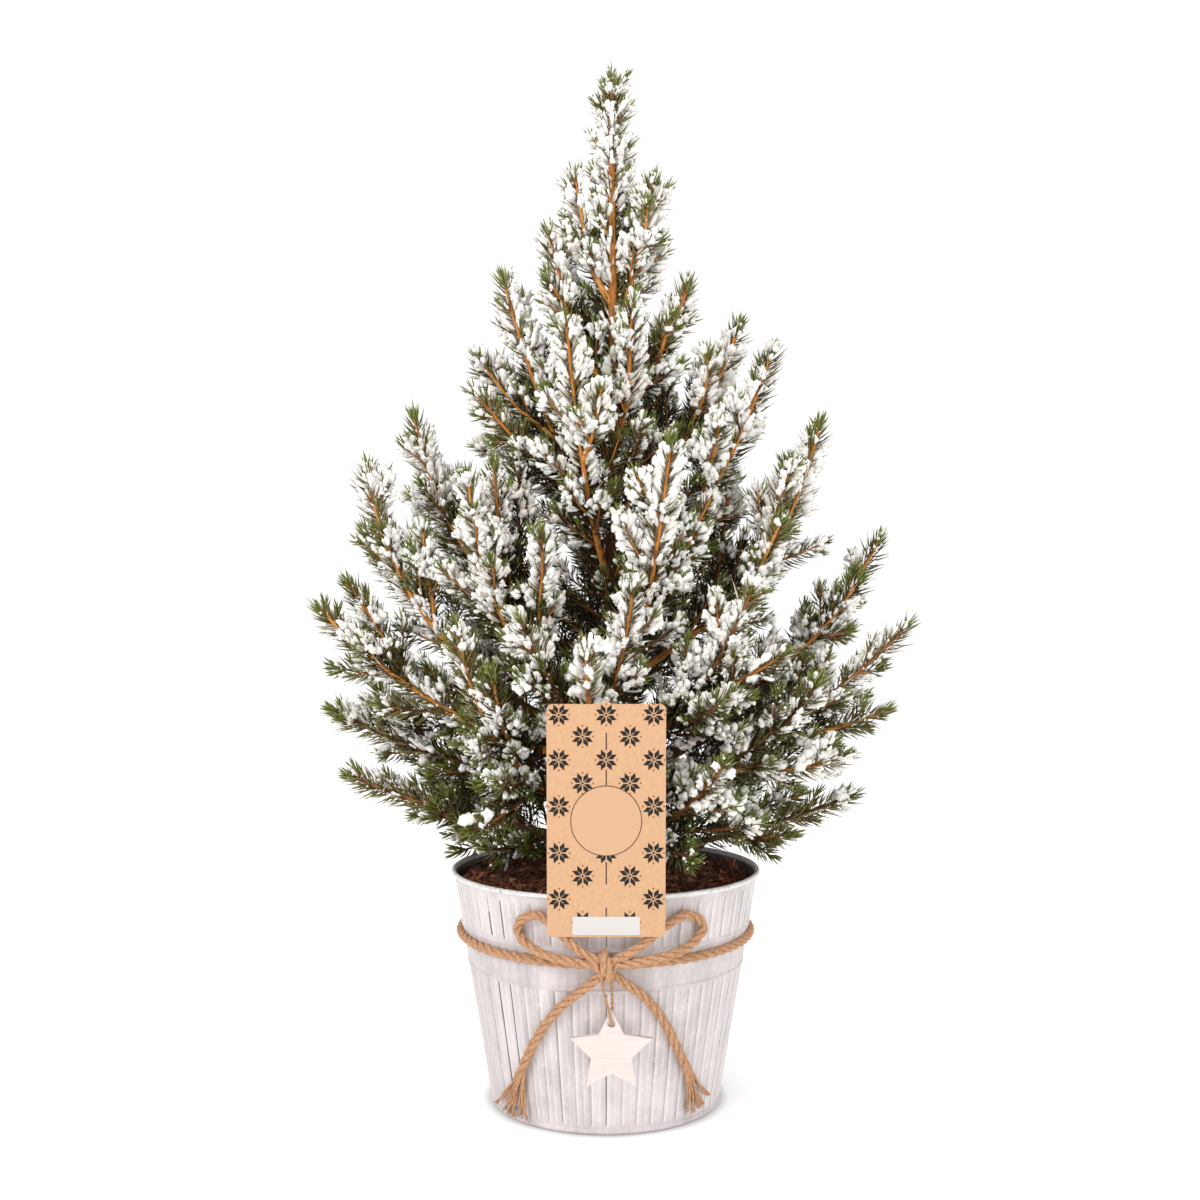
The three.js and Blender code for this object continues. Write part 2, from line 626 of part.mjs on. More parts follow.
// A tail ends in a flat fan of loosened yarns.
function ropeTail(route, frayEnd, knotRoom) {
  const last = onWall(route[route.length - 1]);
  const end = onWall(frayEnd);
  const fan = new THREE.CylinderGeometry(ROPE_RADIUS, FRAY_WIDTH, last.distanceTo(end), 8);
  const places = fan.attributes.position;
  for (let i = 0; i < places.count; i += 1) {
    if (places.getY(i) < 0) places.setZ(i, places.getZ(i) * (FRAY_DEPTH / FRAY_WIDTH));
  }
  const out = new THREE.Vector3(end.x, end.y, 0).normalize();
  const up = last.clone().sub(end).normalize();
  out.addScaledVector(up, -out.dot(up)).normalize();
  const wide = new THREE.Vector3().crossVectors(up, out);
  fan.applyMatrix4(new THREE.Matrix4().makeBasis(wide, up, out));
  const middle = last.clone().lerp(end, 0.5);
  fan.translate(middle.x, middle.y, middle.z);
  return mainBody(ropeTube(route, 12).add(solidOf(fan)).subtract(knotRoom));
}

function star() {
  const outline = new THREE.Shape();
  for (let i = 0; i < 10; i += 1) {
    const radius = i % 2 ? STAR_NOTCH : STAR_POINT;
    const turn = Math.PI / 2 + (i * Math.PI) / 5;
    const x = radius * Math.cos(turn);
    const y = radius * Math.sin(turn);
    if (i === 0) outline.moveTo(x, y);
    else outline.lineTo(x, y);
  }
  outline.closePath();
  const hole = new THREE.Path();
  hole.absarc(0, STAR_POINT - STAR_HOLE_BELOW_POINT, STAR_HOLE_RADIUS, 0, 2 * Math.PI);
  outline.holes.push(hole);
  return new THREE.ExtrudeGeometry(outline, {
    depth: STAR_THICKNESS,
    bevelEnabled: false,
    curveSegments: 5,
  }).translate(0, STAR_HOLE_BELOW_POINT - STAR_POINT, -STAR_THICKNESS / 2);
}

function twine(knotRoom) {
  const line = new THREE.CatmullRomCurve3(TWINE_ROUTE.map((place) => new THREE.Vector3(...place)));
  const loop = tube(line, () => TWINE_RADIUS, new THREE.Vector3(1, 0, 0), 4, 18);
  return mainBody(solidOf(loop).subtract(knotRoom));
}

function tag() {
  const half = TAG_WIDTH / 2;
  const outline = new THREE.Shape();
  outline.moveTo(-half + TAG_CORNER, 0);
  outline.lineTo(half - TAG_CORNER, 0);
  outline.absarc(half - TAG_CORNER, TAG_CORNER, TAG_CORNER, -Math.PI / 2, 0);
  outline.absarc(half - TAG_CORNER, TAG_HEIGHT - TAG_CORNER, TAG_CORNER, 0, Math.PI / 2);
  outline.absarc(-half + TAG_CORNER, TAG_HEIGHT - TAG_CORNER, TAG_CORNER, Math.PI / 2, Math.PI);
  outline.absarc(-half + TAG_CORNER, TAG_CORNER, TAG_CORNER, Math.PI, 1.5 * Math.PI);
  return new THREE.ExtrudeGeometry(outline, {
    depth: TAG_THICKNESS,
    bevelEnabled: false,
    curveSegments: 4,
  });
}

// The whole plant

addNode("pot", pot(), materials.zinc);
addNode("soil", soil(), materials.soil);
addNode("trunk", trunk(0), materials.bark);

const trunkRoom = solidOf(trunk(GAP));
limbs.forEach((limb, owner) => {
  if (limb.bare) {
    addNode("bough_" + limb.name, geometryOf(boughSolid(limb, trunkRoom)), materials.bark);
  }
  addNode("mass_" + limb.name, geometryOf(massSolid(limb, owner, trunkRoom)), materials.needles);
});

const knotRoom = solidOf(knot(GAP));
addNode("rope_knot", knot(0), materials.rope);
addNode("rope_band", geometryOf(ropeBand(knotRoom)), materials.rope);
addNode("bow_loop_left", geometryOf(bowLoop(LEFT_LOOP_LOW, LEFT_LOOP_HIGH, knotRoom)), materials.rope);
addNode("bow_loop_right", geometryOf(bowLoop(RIGHT_LOOP_LOW, RIGHT_LOOP_HIGH, knotRoom)), materials.rope);
addNode("rope_tail_left", geometryOf(ropeTail(LEFT_TAIL, LEFT_FRAY_END, knotRoom)), materials.rope);
addNode("rope_tail_right", geometryOf(ropeTail(RIGHT_TAIL, RIGHT_FRAY_END, knotRoom)), materials.rope);
addNode("star_string", geometryOf(twine(knotRoom)), materials.rope);

const hangingStar = addNode("star", star(), materials.wood);
hangingStar.position.set(...STAR_HOLE_AT);
hangingStar.rotation.x = Math.PI / 2;

const card = addNode("tag", tag(), materials.card);
card.position.set(0, TAG_BACK_Y, TAG_LOW);
card.rotation.x = Math.PI / 2 + TAG_LEAN;

export default tree;
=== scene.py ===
import math

import bpy
import numpy as np
from mathutils import Matrix, Vector


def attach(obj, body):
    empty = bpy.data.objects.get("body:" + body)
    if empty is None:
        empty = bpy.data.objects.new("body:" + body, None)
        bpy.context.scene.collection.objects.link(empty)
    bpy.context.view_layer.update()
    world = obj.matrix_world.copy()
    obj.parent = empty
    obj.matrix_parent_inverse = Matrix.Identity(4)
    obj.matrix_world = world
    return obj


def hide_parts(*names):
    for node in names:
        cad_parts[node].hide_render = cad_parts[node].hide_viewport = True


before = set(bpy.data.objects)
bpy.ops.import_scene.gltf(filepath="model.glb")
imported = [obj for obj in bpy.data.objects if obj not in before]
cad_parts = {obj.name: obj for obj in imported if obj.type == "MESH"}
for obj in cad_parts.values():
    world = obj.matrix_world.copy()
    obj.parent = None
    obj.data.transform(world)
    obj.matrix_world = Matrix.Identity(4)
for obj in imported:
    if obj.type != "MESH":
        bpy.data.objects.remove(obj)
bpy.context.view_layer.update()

bl_info = {
    "name": "Potted dwarf spruce",
    "version": (1, 0, 0),
    "blender": (4, 5, 0),
    "location": "View3D > Sidebar > Spruce",
    "description": "Grows a flocked dwarf spruce in a dressed zinc pot, piece by piece",
    "category": "Object",
}

MM = 0.001
NODES = sorted(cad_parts)
MASS_NODES = [name for name in NODES if name.startswith("mass_")]
WOOD_NODES = [name for name in NODES if name.startswith("bough_")] + ["trunk"]
GOLDEN_ANGLE = math.radians(137.5)

# Added to a turn before its fraction is taken, so that it is never below zero
WHOLE_TURNS = 1000.0

# Trunk and crown, in millimetres: each bend is a sideways place of the trunk's centre and its height
TRUNK_FOOT = 112.5
TRUNK_BENDS = (
    (0, 2, 100), (0, 2, 112.5), (1.5, 1, 200), (4.3, 0, 310), (3.9, 0, 390), (3, 0, 470), (2.8, 0, 520),
)
TRUNK_END = 470
TRUNK_END_RADIUS = 1.6
ROOT_FLARE = 3.4
CROWN_TOP = 517

# How far the crown reaches from its axis at a height
CROWN_REACH = (
    (100, 108), (150, 130), (200, 142), (250, 142), (300, 124), (340, 106), (375, 84),
    (395, 70), (415, 55), (435, 40), (460, 28), (480, 18), (530, 9),
)

# Limbs: name, foot, side, reach, height, sweep, bare share, snow, and forks of share, side, reach and
# height. A limb leaves the trunk at the height foot and ends at height, reach away from the axis, on a
# side in degrees from +X round towards +Y. Sweep is how far out it bends. Snow is how much of it the
# flock covers, and a fork leaves it at a share of its length.
LIMBS = (
    ("low_right", 120, 354, 124, 153, 0.6, 0.36, 0.1, ((0.5, 342, 94, 137),)),
    ("low_front_right", 133, 302, 101, 178, 0.7, 0, 0.62, ((0.4, 316, 96, 148), (0.35, 297, 86, 134))),
    ("front_left", 137, 221, 92, 238, 0.85, 0.3, 0.72,
     ((0.36, 228, 95, 144), (0.45, 235, 91, 216), (0.4, 236, 90, 168))),
    ("low_left", 127, 181, 130, 162, 0.6, 0.36, 0.1,
     ((0.42, 196, 88, 148), (0.2, 202, 64, 129), (0.26, 222, 52, 131), (0.3, 188, 70, 136))),
    ("low_back_left", 118, 140, 119, 160, 0.65, 0.36, 0.1, ((0.45, 158, 112, 150),)),
    ("low_back_right", 130, 40, 121, 162, 0.65, 0.36, 0.15, ((0.45, 22, 114, 146),)),
    ("back", 141, 90, 124, 214, 0.75, 0.34, 0.6, ((0.4, 106, 114, 150), (0.4, 70, 114, 158))),
    ("spreading_left", 147, 176, 141, 194, 0.5, 0.34, 0.36, ((0.5, 169, 124, 206),)),
    ("rising_left", 167, 188, 142, 246, 0.66, 0, 0.5, ((0.6, 183, 129, 259),)),
    ("snowy_front", 158, 264, 89, 230, 0.8, 0, 0.95, ((0.4, 280, 72, 258), (0.4, 238, 76, 242))),
    ("diagonal_right", 167, 318, 92, 257, 0.6, 0, 0.9, ((0.4, 301, 99, 204), (0.5, 326, 100, 226))),
    ("spreading_right", 152, 356, 151, 238, 0.62, 0.34, 0.45, ((0.5, 352, 140, 196),)),
    ("front_right", 142, 332, 114, 213, 0.66, 0, 0.66, ((0.5, 341, 122, 176),)),
    ("back_right", 163, 26, 133, 224, 0.68, 0.34, 0.4, ((0.5, 42, 126, 210),)),
    ("back_left", 157, 128, 132, 234, 0.7, 0.34, 0.55, ((0.5, 146, 128, 214),)),
    ("tall_left", 176, 184, 120, 317, 0.84, 0.36, 0.5, ((0.62, 177, 124, 286), (0.55, 190, 92, 288))),
    ("tall_front_left", 186, 212, 78, 310, 0.85, 0, 0.8,
     ((0.45, 203, 60, 318), (0.3, 240, 60, 283), (0.4, 190, 44, 322))),
    ("tall_front_right", 196, 299, 63, 324, 0.8, 0, 0.95, ((0.4, 325, 62, 300),)),
    ("tall_right", 206, 358, 108, 339, 0.74, 0, 0.6,
     ((0.5, 349, 94, 317), (0.4, 338, 92, 290), (0.36, 6, 64, 312))),
    ("outer_right", 176, 12, 148, 283, 0.74, 0, 0.45, ((0.55, 5, 132, 262),)),
    ("tall_back_right", 194, 56, 108, 306, 0.8, 0, 0.6, ((0.5, 38, 110, 278),)),
    ("tall_back", 204, 98, 96, 322, 0.8, 0, 0.7, ((0.5, 80, 98, 286),)),
    ("tall_back_left", 199, 146, 112, 310, 0.8, 0, 0.55, ((0.5, 126, 108, 282),)),
    ("outer_left", 218, 168, 102, 346, 0.78, 0, 0.5, ((0.5, 158, 92, 318),)),
    ("upper_left", 282, 176, 52, 414, 0.55, 0, 0.62, ((0.4, 182, 65, 374), (0.2, 194, 68, 354))),
    ("upper_front", 258, 245, 45, 384, 0.75, 0, 0.95, ((0.5, 268, 48, 352),)),
    ("upper_right", 292, 12, 71, 393, 0.6, 0, 0.8, ((0.5, 350, 52, 374),)),
    ("upper_front_right", 262, 352, 84, 375, 0.66, 0, 0.85, ((0.42, 324, 67, 338),)),
    ("upper_back_right", 284, 62, 70, 382, 0.66, 0, 0.6, ((0.45, 40, 74, 352),)),
    ("upper_back_left", 270, 124, 70, 386, 0.66, 0, 0.6, ((0.45, 146, 76, 358),)),
    ("top_left", 352, 182, 29, 437, 0.55, 0, 0.75, ((0.45, 206, 32, 412),)),
    ("top_right", 344, 10, 43, 412, 0.6, 0, 0.75, ((0.45, 335, 36, 390),)),
    ("top_front", 330, 296, 30, 396, 0.7, 0, 0.8, ()),
    ("top_back", 340, 92, 36, 424, 0.6, 0, 0.55, ((0.45, 128, 36, 402),)),
    ("summit_left", 400, 178, 16, 466, 0.6, 0, 0.6, ()),
    ("summit_right", 390, 2, 24, 463, 0.6, 0, 0.75, ((0.4, 330, 24, 448),)),
)
LIMB_RISE = 0.25
FORK_SAG = 0.14

# By a stem's rank: 0 is a limb, 1 a fork, 2 a side shoot and 3 a twig
STEM_SIDES = (7, 6, 4, 3)
NEEDLE_SIZES = (0.95, 0.92, 0.82, 0.72)
NEEDLE_CROWDING = (1.0, 0.95, 0.66, 0.55)
BARE_ANGLES = (0.85, 0.8, 0.6, 0.2)


# Sizes and colours that a user would change


def length_property(name, description, default):
    """A length, which the panel shows in the scene's unit."""
    return bpy.props.FloatProperty(name=name, description=description, default=default, unit="LENGTH")


def colour_property(name, description, default):
    """A linear colour, which the panel shows as a swatch."""
    return bpy.props.FloatVectorProperty(
        name=name, description=description, default=default, subtype="COLOR"
    )


class PotSizes(bpy.types.PropertyGroup):
    """The zinc pot and its soil."""

    foot_radius: length_property("Foot radius", "Radius of the wall at the pot's foot", 0.0571)
    flare: bpy.props.FloatProperty(
        name="Flare", description="How much the radius grows with height", default=0.1685
    )
    height: length_property("Height", "Height of the rim", 0.1159)
    flutes: bpy.props.IntProperty(
        name="Flutes", description="Pressed planks round the pot", default=52, min=8
    )
    groove_depth: length_property("Groove depth", "Depth of the grooves between planks", 0.0003)
    whitewash: colour_property("Whitewash", "Pale paint of the wall", (0.64, 0.583, 0.58))
    soil: colour_property("Soil", "Moist bark chips", (0.085, 0.034, 0.02))
    chips: bpy.props.IntProperty(
        name="Chips", description="Bark chips on the soil", default=1900, min=0
    )


class CrownSizes(bpy.types.PropertyGroup):
    """The spruce above the soil."""

    trunk_radius: length_property("Trunk radius", "Radius above the root flare", 0.0054)
    needle_length: length_property("Needle length", "Length of a needle in the middle of a shoot", 0.0106)
    needle_radius: length_property("Needle radius", "Half the width of a needle", 0.00043)
    needles_per_mm: bpy.props.FloatProperty(
        name="Needles per millimetre", description="Needles along a leading shoot", default=2.95
    )
    side_shoot_every: length_property("Side shoot spacing", "Way along a limb between side shoots", 0.0064)
    flock_radius: length_property("Flock radius", "Half the thickness of the coat on a needle", 0.0014)
    seed: bpy.props.IntProperty(name="Seed", description="Seed of everything random", default=11)


class TrimSizes(bpy.types.PropertyGroup):
    """Rope, star and card."""

    rope_radius: length_property("Rope radius", "Half the rope's thickness", 0.0023)
    rope_lay: length_property("Rope lay", "Length of one turn of a strand", 0.0185)
    jute: colour_property("Jute", "Colour of the rope", (0.52, 0.293, 0.166))
    star_radius: length_property("Star radius", "Centre to a point of the star", 0.0199)
    card: colour_property("Card", "Colour of the bare card", (0.62, 0.37, 0.21))


class StageSettings(bpy.types.PropertyGroup):
    """Camera, light and floor."""

    camera_distance: length_property("Camera distance", "From the pot's axis", 0.731)
    camera_height: length_property("Camera height", "Above the floor", 0.2504)
    lens: bpy.props.FloatProperty(
        name="Lens", description="Focal length on a 36 mm sensor", default=43.23, unit="CAMERA"
    )
    light: bpy.props.FloatProperty(
        name="Light", description="Strength of the studio lamps", default=1.0, min=0.0
    )


# Colours and materials


def srgb(red, green, blue):
    """A linear colour from its usual 0 to 255 values."""
    parts = []
    for value in (red, green, blue):
        share = value / 255
        parts.append(share / 12.92 if share <= 0.04045 else ((share + 0.055) / 1.055) ** 2.4)
    return (*parts, 1.0)


def toned(colour, factor):
    """A paler or darker tone of a plain colour."""
    return tuple(min(1.0, part * factor) for part in colour) + (1.0,)


class Nodes:
    """Adds nodes to a tree one after another, each with its settings and its inputs."""

    def join(self, value, socket):
        """Links a node's output to a socket, or sets the socket to a plain value."""
        if isinstance(value, bpy.types.NodeSocket):
            self.tree.links.new(value, socket)
        else:
            socket.default_value = value

    def node(self, kind, settings=None, **inputs):
        """A node whose inputs are given by name, with _ for a space."""
        made = self.tree.nodes.new(kind)
        for key, value in (settings or {}).items():
            setattr(made, key, value)
        for key, value in inputs.items():
            self.join(value, made.inputs[key.replace("_", " ")])
        return made

    def worked(self, kind, operation, *values):
        """The result of a node that works on its inputs in their order."""
        made = self.node(kind, {"operation": operation})
        for value, socket in zip(values, made.inputs):
            self.join(value, socket)
        return made.outputs[0]

    def math(self, operation, *values):
        return self.worked("ShaderNodeMath", operation, *values)

    def product(self, first, *others):
        """All values multiplied, from the first on."""
        for other in others:
            first = self.math("MULTIPLY", first, other)
        return first


class Finish(Nodes):
    """A material, painted by what its nodes give."""

    def __init__(self, name, colour, roughness=0.6, metallic=0.0, specular=0.4):
        self.material = bpy.data.materials.new(name)
        self.material.use_nodes = True
        self.tree = self.material.node_tree
        self.shader = self.tree.nodes["Principled BSDF"]
        self.shader.inputs["Base Color"].default_value = tuple(colour[:3]) + (1.0,)
        self.shader.inputs["Roughness"].default_value = roughness
        self.shader.inputs["Metallic"].default_value = metallic
        self.shader.inputs["Specular IOR Level"].default_value = specular

    def places(self, scale=(1, 1, 1)):
        """Object coordinates, stretched by a scale along each axis."""
        place = self.node("ShaderNodeTexCoord").outputs["Object"]
        return self.node("ShaderNodeMapping", Vector=place, Scale=scale).outputs["Vector"]

    def noise(self, scale, detail=3.0, roughness=0.55, distortion=0.0):
        """Cloudy noise with a number of waves to the metre along each axis."""
        made = self.node(
            "ShaderNodeTexNoise", Vector=self.places(scale), Scale=1.0, Detail=detail,
            Roughness=roughness, Distortion=distortion,
        )
        return made.outputs["Fac"]

    def ramp(self, value, *stops):
        """Greys or colours that change over the stops of a place and a tone each."""
        made = self.node("ShaderNodeValToRGB", Fac=value)
        stops_in_node = made.color_ramp.elements
        while len(stops_in_node) < len(stops):
            stops_in_node.new(0.5)
        for stop, (place, colour) in zip(stops_in_node, stops):
            stop.position = place
            stop.color = colour if isinstance(colour, tuple) else (colour, colour, colour, 1.0)
        return made.outputs["Color"]

    def mix(self, factor, first, second, blend="MIX"):
        """Two colours mixed, or blended another way."""
        made = self.node("ShaderNodeMix", {"data_type": "RGBA", "blend_type": blend})
        self.join(factor, made.inputs[0])
        self.join(first, made.inputs[6])
        self.join(second, made.inputs[7])
        return made.outputs[2]

    def colour(self, socket):
        self.join(socket, self.shader.inputs["Base Color"])

    def rough(self, socket):
        self.join(socket, self.shader.inputs["Roughness"])

    def relief(self, height, depth, strength=1.0):
        """Small relief of a depth in metres, which ends the material."""
        made = self.node("ShaderNodeBump", Height=height, Strength=strength, Distance=depth)
        self.join(made.outputs["Normal"], self.shader.inputs["Normal"])
        return self.material


def zinc_outside(settings):
    """Whitewash in clouds and streaks, with a painted highlight along the planks' sides and painted shade,
    with some dirt, in their grooves.
    """
    made = Finish("whitewashed_zinc", settings.whitewash, roughness=0.5)
    white = toned(settings.whitewash, 1.0)
    pale = toned(settings.whitewash, 1.16)
    grey = toned(settings.whitewash, 0.8)
    apart = made.node("ShaderNodeSeparateXYZ", Vector=made.places())
    turn = made.math("ARCTAN2", apart.outputs["Y"], apart.outputs["X"])
    turn = made.product(turn, settings.flutes / (2 * math.pi))
    lengthwise = made.node(
        "ShaderNodeCombineXYZ", X=made.product(turn, 3.0), Y=made.product(apart.outputs["Z"], 14.0)
    )
    grain = made.node(
        "ShaderNodeTexNoise", Vector=lengthwise.outputs[0], Scale=1.0, Detail=3.0, Roughness=0.6
    )
    streak = made.ramp(grain.outputs["Fac"], (0.3, 0.88), (0.5, 1.0), (0.7, 1.05))
    cloud = made.ramp(made.noise((46, 46, 30), 5, 0.6, 0.5), (0.32, grey), (0.52, white), (0.7, pale))
    share = made.math("FRACT", made.math("ADD", turn, WHOLE_TURNS))
    edge = made.product(made.math("ABSOLUTE", made.math("SUBTRACT", share, 0.5)), 2.0)
    groove = made.ramp(edge, (0.84, 0.0), (0.93, 1.0), (1.0, 1.0))
    # Painted highlight: a pale strip along the sides of each plank, where light falls on its rounded face
    lit = made.ramp(
        share, (0.06, 0.0), (0.12, 1.0), (0.24, 0.25), (0.44, 0.0), (0.52, 0.0), (0.6, 0.55), (0.7, 0.0)
    )
    fluted = made.ramp(
        made.math("DIVIDE", apart.outputs["Z"], 0.12),
        (0.03, 0.0), (0.04, 1.0), (0.572, 1.0), (0.582, 0.0), (0.755, 0.0), (0.765, 1.0), (0.9, 1.0),
        (0.93, 0.0),
    )
    groove_unevenness = made.ramp(made.noise((300, 300, 50), 4, 0.7), (0.34, 1.0), (0.46, 0.55), (0.62, 0.3))
    scar = made.ramp(made.noise((340, 340, 260), 3, 0.6), (0.25, 1.0), (0.31, 0.0))
    # Painted shade in the grooves between the planks, heavier where dirt lies unevenly in them, never gone
    groove_shade_and_dirt = made.product(groove, fluted, groove_unevenness)
    fleck = made.ramp(made.noise((560, 560, 200), 5, 0.7, 0.5), (0.56, 0.0), (0.72, 0.6))
    body = made.mix(1.0, cloud, streak, "MULTIPLY")
    # The painted highlights along the planks' sides go on first, then the white flecks
    body = made.mix(made.product(lit, fluted, 0.5), body, srgb(250, 247, 246))
    body = made.mix(fleck, body, srgb(248, 245, 244))
    # Painted shade with some dirt in the grooves
    body = made.mix(made.product(groove_shade_and_dirt, 0.5), body, srgb(140, 130, 128))
    made.colour(made.mix(made.product(scar, groove, fluted), body, srgb(84, 78, 76)))
    made.rough(made.ramp(made.noise((150, 150, 60), 3), (0.3, 0.62), (0.7, 0.42)))
    height = made.math("ADD", made.noise((420, 420, 14), 2), made.noise((1600, 1600, 900), 2))
    return made.relief(height, 0.00018, 0.7)


def zinc_rim():
    """Worn whitewash with grey metal showing through."""
    made = Finish("worn_rim", srgb(216, 213, 212), roughness=0.36, metallic=0.12)
    chips = made.ramp(
        made.noise((420, 420, 420), 5, 0.75, 0.4),
        (0.3, srgb(132, 126, 122)), (0.38, srgb(208, 205, 203)), (0.6, srgb(236, 233, 232)),
    )
    made.colour(chips)
    return made.relief(made.noise((700, 700, 700), 3), 0.00012, 0.5)


def zinc_inside():
    """Dull grey metal, dark in clouds."""
    made = Finish("zinc_inside", srgb(104, 98, 94), roughness=0.5, metallic=0.35)
    made.colour(made.ramp(made.noise((90, 90, 60), 4), (0.3, srgb(66, 60, 56)), (0.7, srgb(138, 132, 127))))
    return made.material


def plain_shades(name, colours, roughness, specular):
    """Plain base colours that are dealt out by spray."""
    return [
        Finish(f"{name}_{index}", srgb(*colour), roughness, specular=specular).material
        for index, colour in enumerate(colours)
    ]


def bark_old():
    """Bark that is dark and rough low down, partly as painted shade within the crown, and turns to the
    orange of young wood towards the top.
    """
    made = Finish("old_bark", srgb(112, 66, 40), roughness=0.85, specular=0.25)
    upright = made.node("ShaderNodeSeparateXYZ", Vector=made.places())
    # Darker lower down: partly older bark, partly painted shade inside the crown
    age_and_shade = made.ramp(
        made.product(upright.outputs["Z"], 2.2),
        (0.24, srgb(66, 42, 28)), (0.6, srgb(94, 58, 32)), (0.78, srgb(126, 80, 40)),
        (0.95, srgb(188, 122, 56)),
    )
    patch = made.ramp(made.noise((480, 480, 120), 4, 0.65), (0.32, 0.5), (0.5, 1.0), (0.75, 1.3))
    made.colour(made.mix(0.9, age_and_shade, patch, "MULTIPLY"))
    return made.relief(made.noise((900, 900, 260), 4, 0.7), 0.0005, 0.9)


def jute(settings):
    """Dry jute fibre, in pale and dark hairs."""
    made = Finish("jute", settings.jute, roughness=0.85, specular=0.2)
    dark, base, pale = (toned(settings.jute, factor) for factor in (0.42, 1.0, 1.45))
    made.colour(made.ramp(made.noise((900, 900, 900), 5, 0.7), (0.28, dark), (0.47, base), (0.72, pale)))
    return made.relief(made.noise((2600, 2600, 2600), 3, 0.7), 0.0003, 0.9)


def kraft(settings):
    """Brown uncoated card with its fibres."""
    made = Finish("kraft_card", settings.card, roughness=0.8, specular=0.25)
    dark, base, pale = (toned(settings.card, factor) for factor in (0.88, 1.0, 1.1))
    fibre = made.ramp(made.noise((700, 700, 500), 5, 0.7, 0.4), (0.25, dark), (0.5, base), (0.78, pale))
    made.colour(fibre)
    return made.relief(made.noise((1800, 1800, 1800), 3), 0.00005, 0.5)


def white_wood():
    """Whitewashed wood with its grain across."""
    made = Finish("whitewashed_wood", srgb(222, 210, 204), roughness=0.65, specular=0.3)
    grain = made.ramp(
        made.noise((90, 900, 900), 4, 0.6, 0.3),
        (0.3, srgb(216, 203, 196)), (0.5, srgb(222, 210, 204)), (0.7, srgb(227, 217, 211)),
    )
    made.colour(grain)
    return made.relief(made.noise((90, 900, 1300), 3), 0.00006, 0.5)


def soil_dark(settings):
    """Moist dark peat."""
    made = Finish("moist_soil", settings.soil, roughness=0.9, specular=0.3)
    dark, base, pale = (toned(settings.soil, factor) for factor in (0.35, 1.0, 2.2))
    made.colour(made.ramp(made.noise((420, 420, 420), 4, 0.7), (0.3, dark), (0.5, base), (0.75, pale)))
    return made.relief(made.noise((1200, 1200, 1200), 4), 0.0006, 1.0)


# Meshes


def linked(name, data):
    """A new object in the scene, for a mesh, a curve, a lamp or a camera."""
    made = bpy.data.objects.new(name, data)
    bpy.context.scene.collection.objects.link(made)
    return made


def evaluated_mesh(holder):
    """What an object's modifiers or its curve give, as a plain mesh."""
    bpy.context.view_layer.update()
    graph = bpy.context.evaluated_depsgraph_get()
    return bpy.data.meshes.new_from_object(holder.evaluated_get(graph), depsgraph=graph)


def finished(piece, *nodes, slot):
    """Ties a piece to the body and hides the solids it stands for."""
    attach(piece, "root")
    if nodes:
        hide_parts(*nodes)
    return piece


def triangle_mesh(name, places, triangles, materials, shades):
    """A mesh object from places in millimetres and rows of three indices."""
    mesh = bpy.data.meshes.new(name)
    mesh.vertices.add(len(places))
    metres = (np.asarray(places, dtype=np.float64) * MM).astype(np.float32)
    mesh.vertices.foreach_set("co", metres.ravel())
    mesh.loops.add(len(triangles) * 3)
    mesh.loops.foreach_set("vertex_index", np.asarray(triangles, dtype=np.int32).ravel())
    mesh.polygons.add(len(triangles))
    mesh.polygons.foreach_set("loop_start", np.arange(0, len(triangles) * 3, 3, dtype=np.int32))
    repaint(mesh, materials, shades)
    mesh.polygons.foreach_set("use_smooth", np.full(len(triangles), True))
    mesh.update(calc_edges=True)
    return linked(name, mesh)


def face_centres(mesh):
    """The middle of each face, in metres."""
    centres = np.empty(len(mesh.polygons) * 3, dtype=np.float32)
    mesh.polygons.foreach_get("center", centres)
    return centres.reshape(-1, 3)


def repaint(mesh, materials, shades=None):
    """Gives a mesh new materials, and each face its number in them."""
    mesh.materials.clear()
    for material in materials:
        mesh.materials.append(material)
    if shades is not None:
        mesh.polygons.foreach_set("material_index", np.asarray(shades, dtype=np.int32))


def round_turns(count):
    """Evenly spaced turns round a circle, in radians."""
    return np.arange(count) * (2 * math.pi / count)


def unit(vectors):
    """Vectors brought to a length of 1."""
    return vectors / np.maximum(np.linalg.norm(vectors, axis=-1, keepdims=True), 1e-9)


def tube_frames(points):
    """Directions along a line of points, with two more square to each, turned as little as can be."""
    along = unit(np.gradient(points, axis=0))
    held = np.array((0.0, 0.0, 1.0)) if abs(along[0][2]) < 0.9 else np.array((1.0, 0.0, 0.0))
    side = np.empty_like(along)
    for index, direction in enumerate(along):
        held = held - direction * held.dot(direction)
        held = held / np.linalg.norm(held)
        side[index] = held
    return along, side, np.cross(along, side)


def ring_walls(rings, around):
    """Four corners of each face between rings of points: low, the next low, and the two above them."""
    starts = np.arange(rings - 1)[:, None] * around
    low = starts + np.arange(around)
    low_next = starts + (np.arange(around) + 1) % around
    return np.stack([low, low_next, low_next + around, low + around], axis=-1).reshape(-1, 4)


def tube_mesh(points, radii, sides, relief):
    """Places and triangles of a closed tube round a line, with relief by ring and side."""
    along, side, other = tube_frames(points)
    turns = round_turns(sides)[None, :, None]
    widths = np.repeat(radii[:, None], sides, axis=1) * relief
    spokes = side[:, None, :] * np.cos(turns) + other[:, None, :] * np.sin(turns)
    rings = points[:, None, :] + widths[:, :, None] * spokes
    count = len(points)
    ends = (points[:1] - along[:1] * 0.05, points[-1:] + along[-1:] * radii[-1])
    places = np.concatenate([rings.reshape(-1, 3), *ends])
    walls = ring_walls(count, sides)
    ring = np.arange(sides)
    foot = np.stack([np.full(sides, count * sides), (ring + 1) % sides, ring], axis=-1)
    last = (count - 1) * sides
    top = np.stack([np.full(sides, count * sides + 1), last + ring, last + (ring + 1) % sides], axis=-1)
    return places, np.concatenate([walls[:, [0, 1, 2]], walls[:, [0, 2, 3]], foot, top])


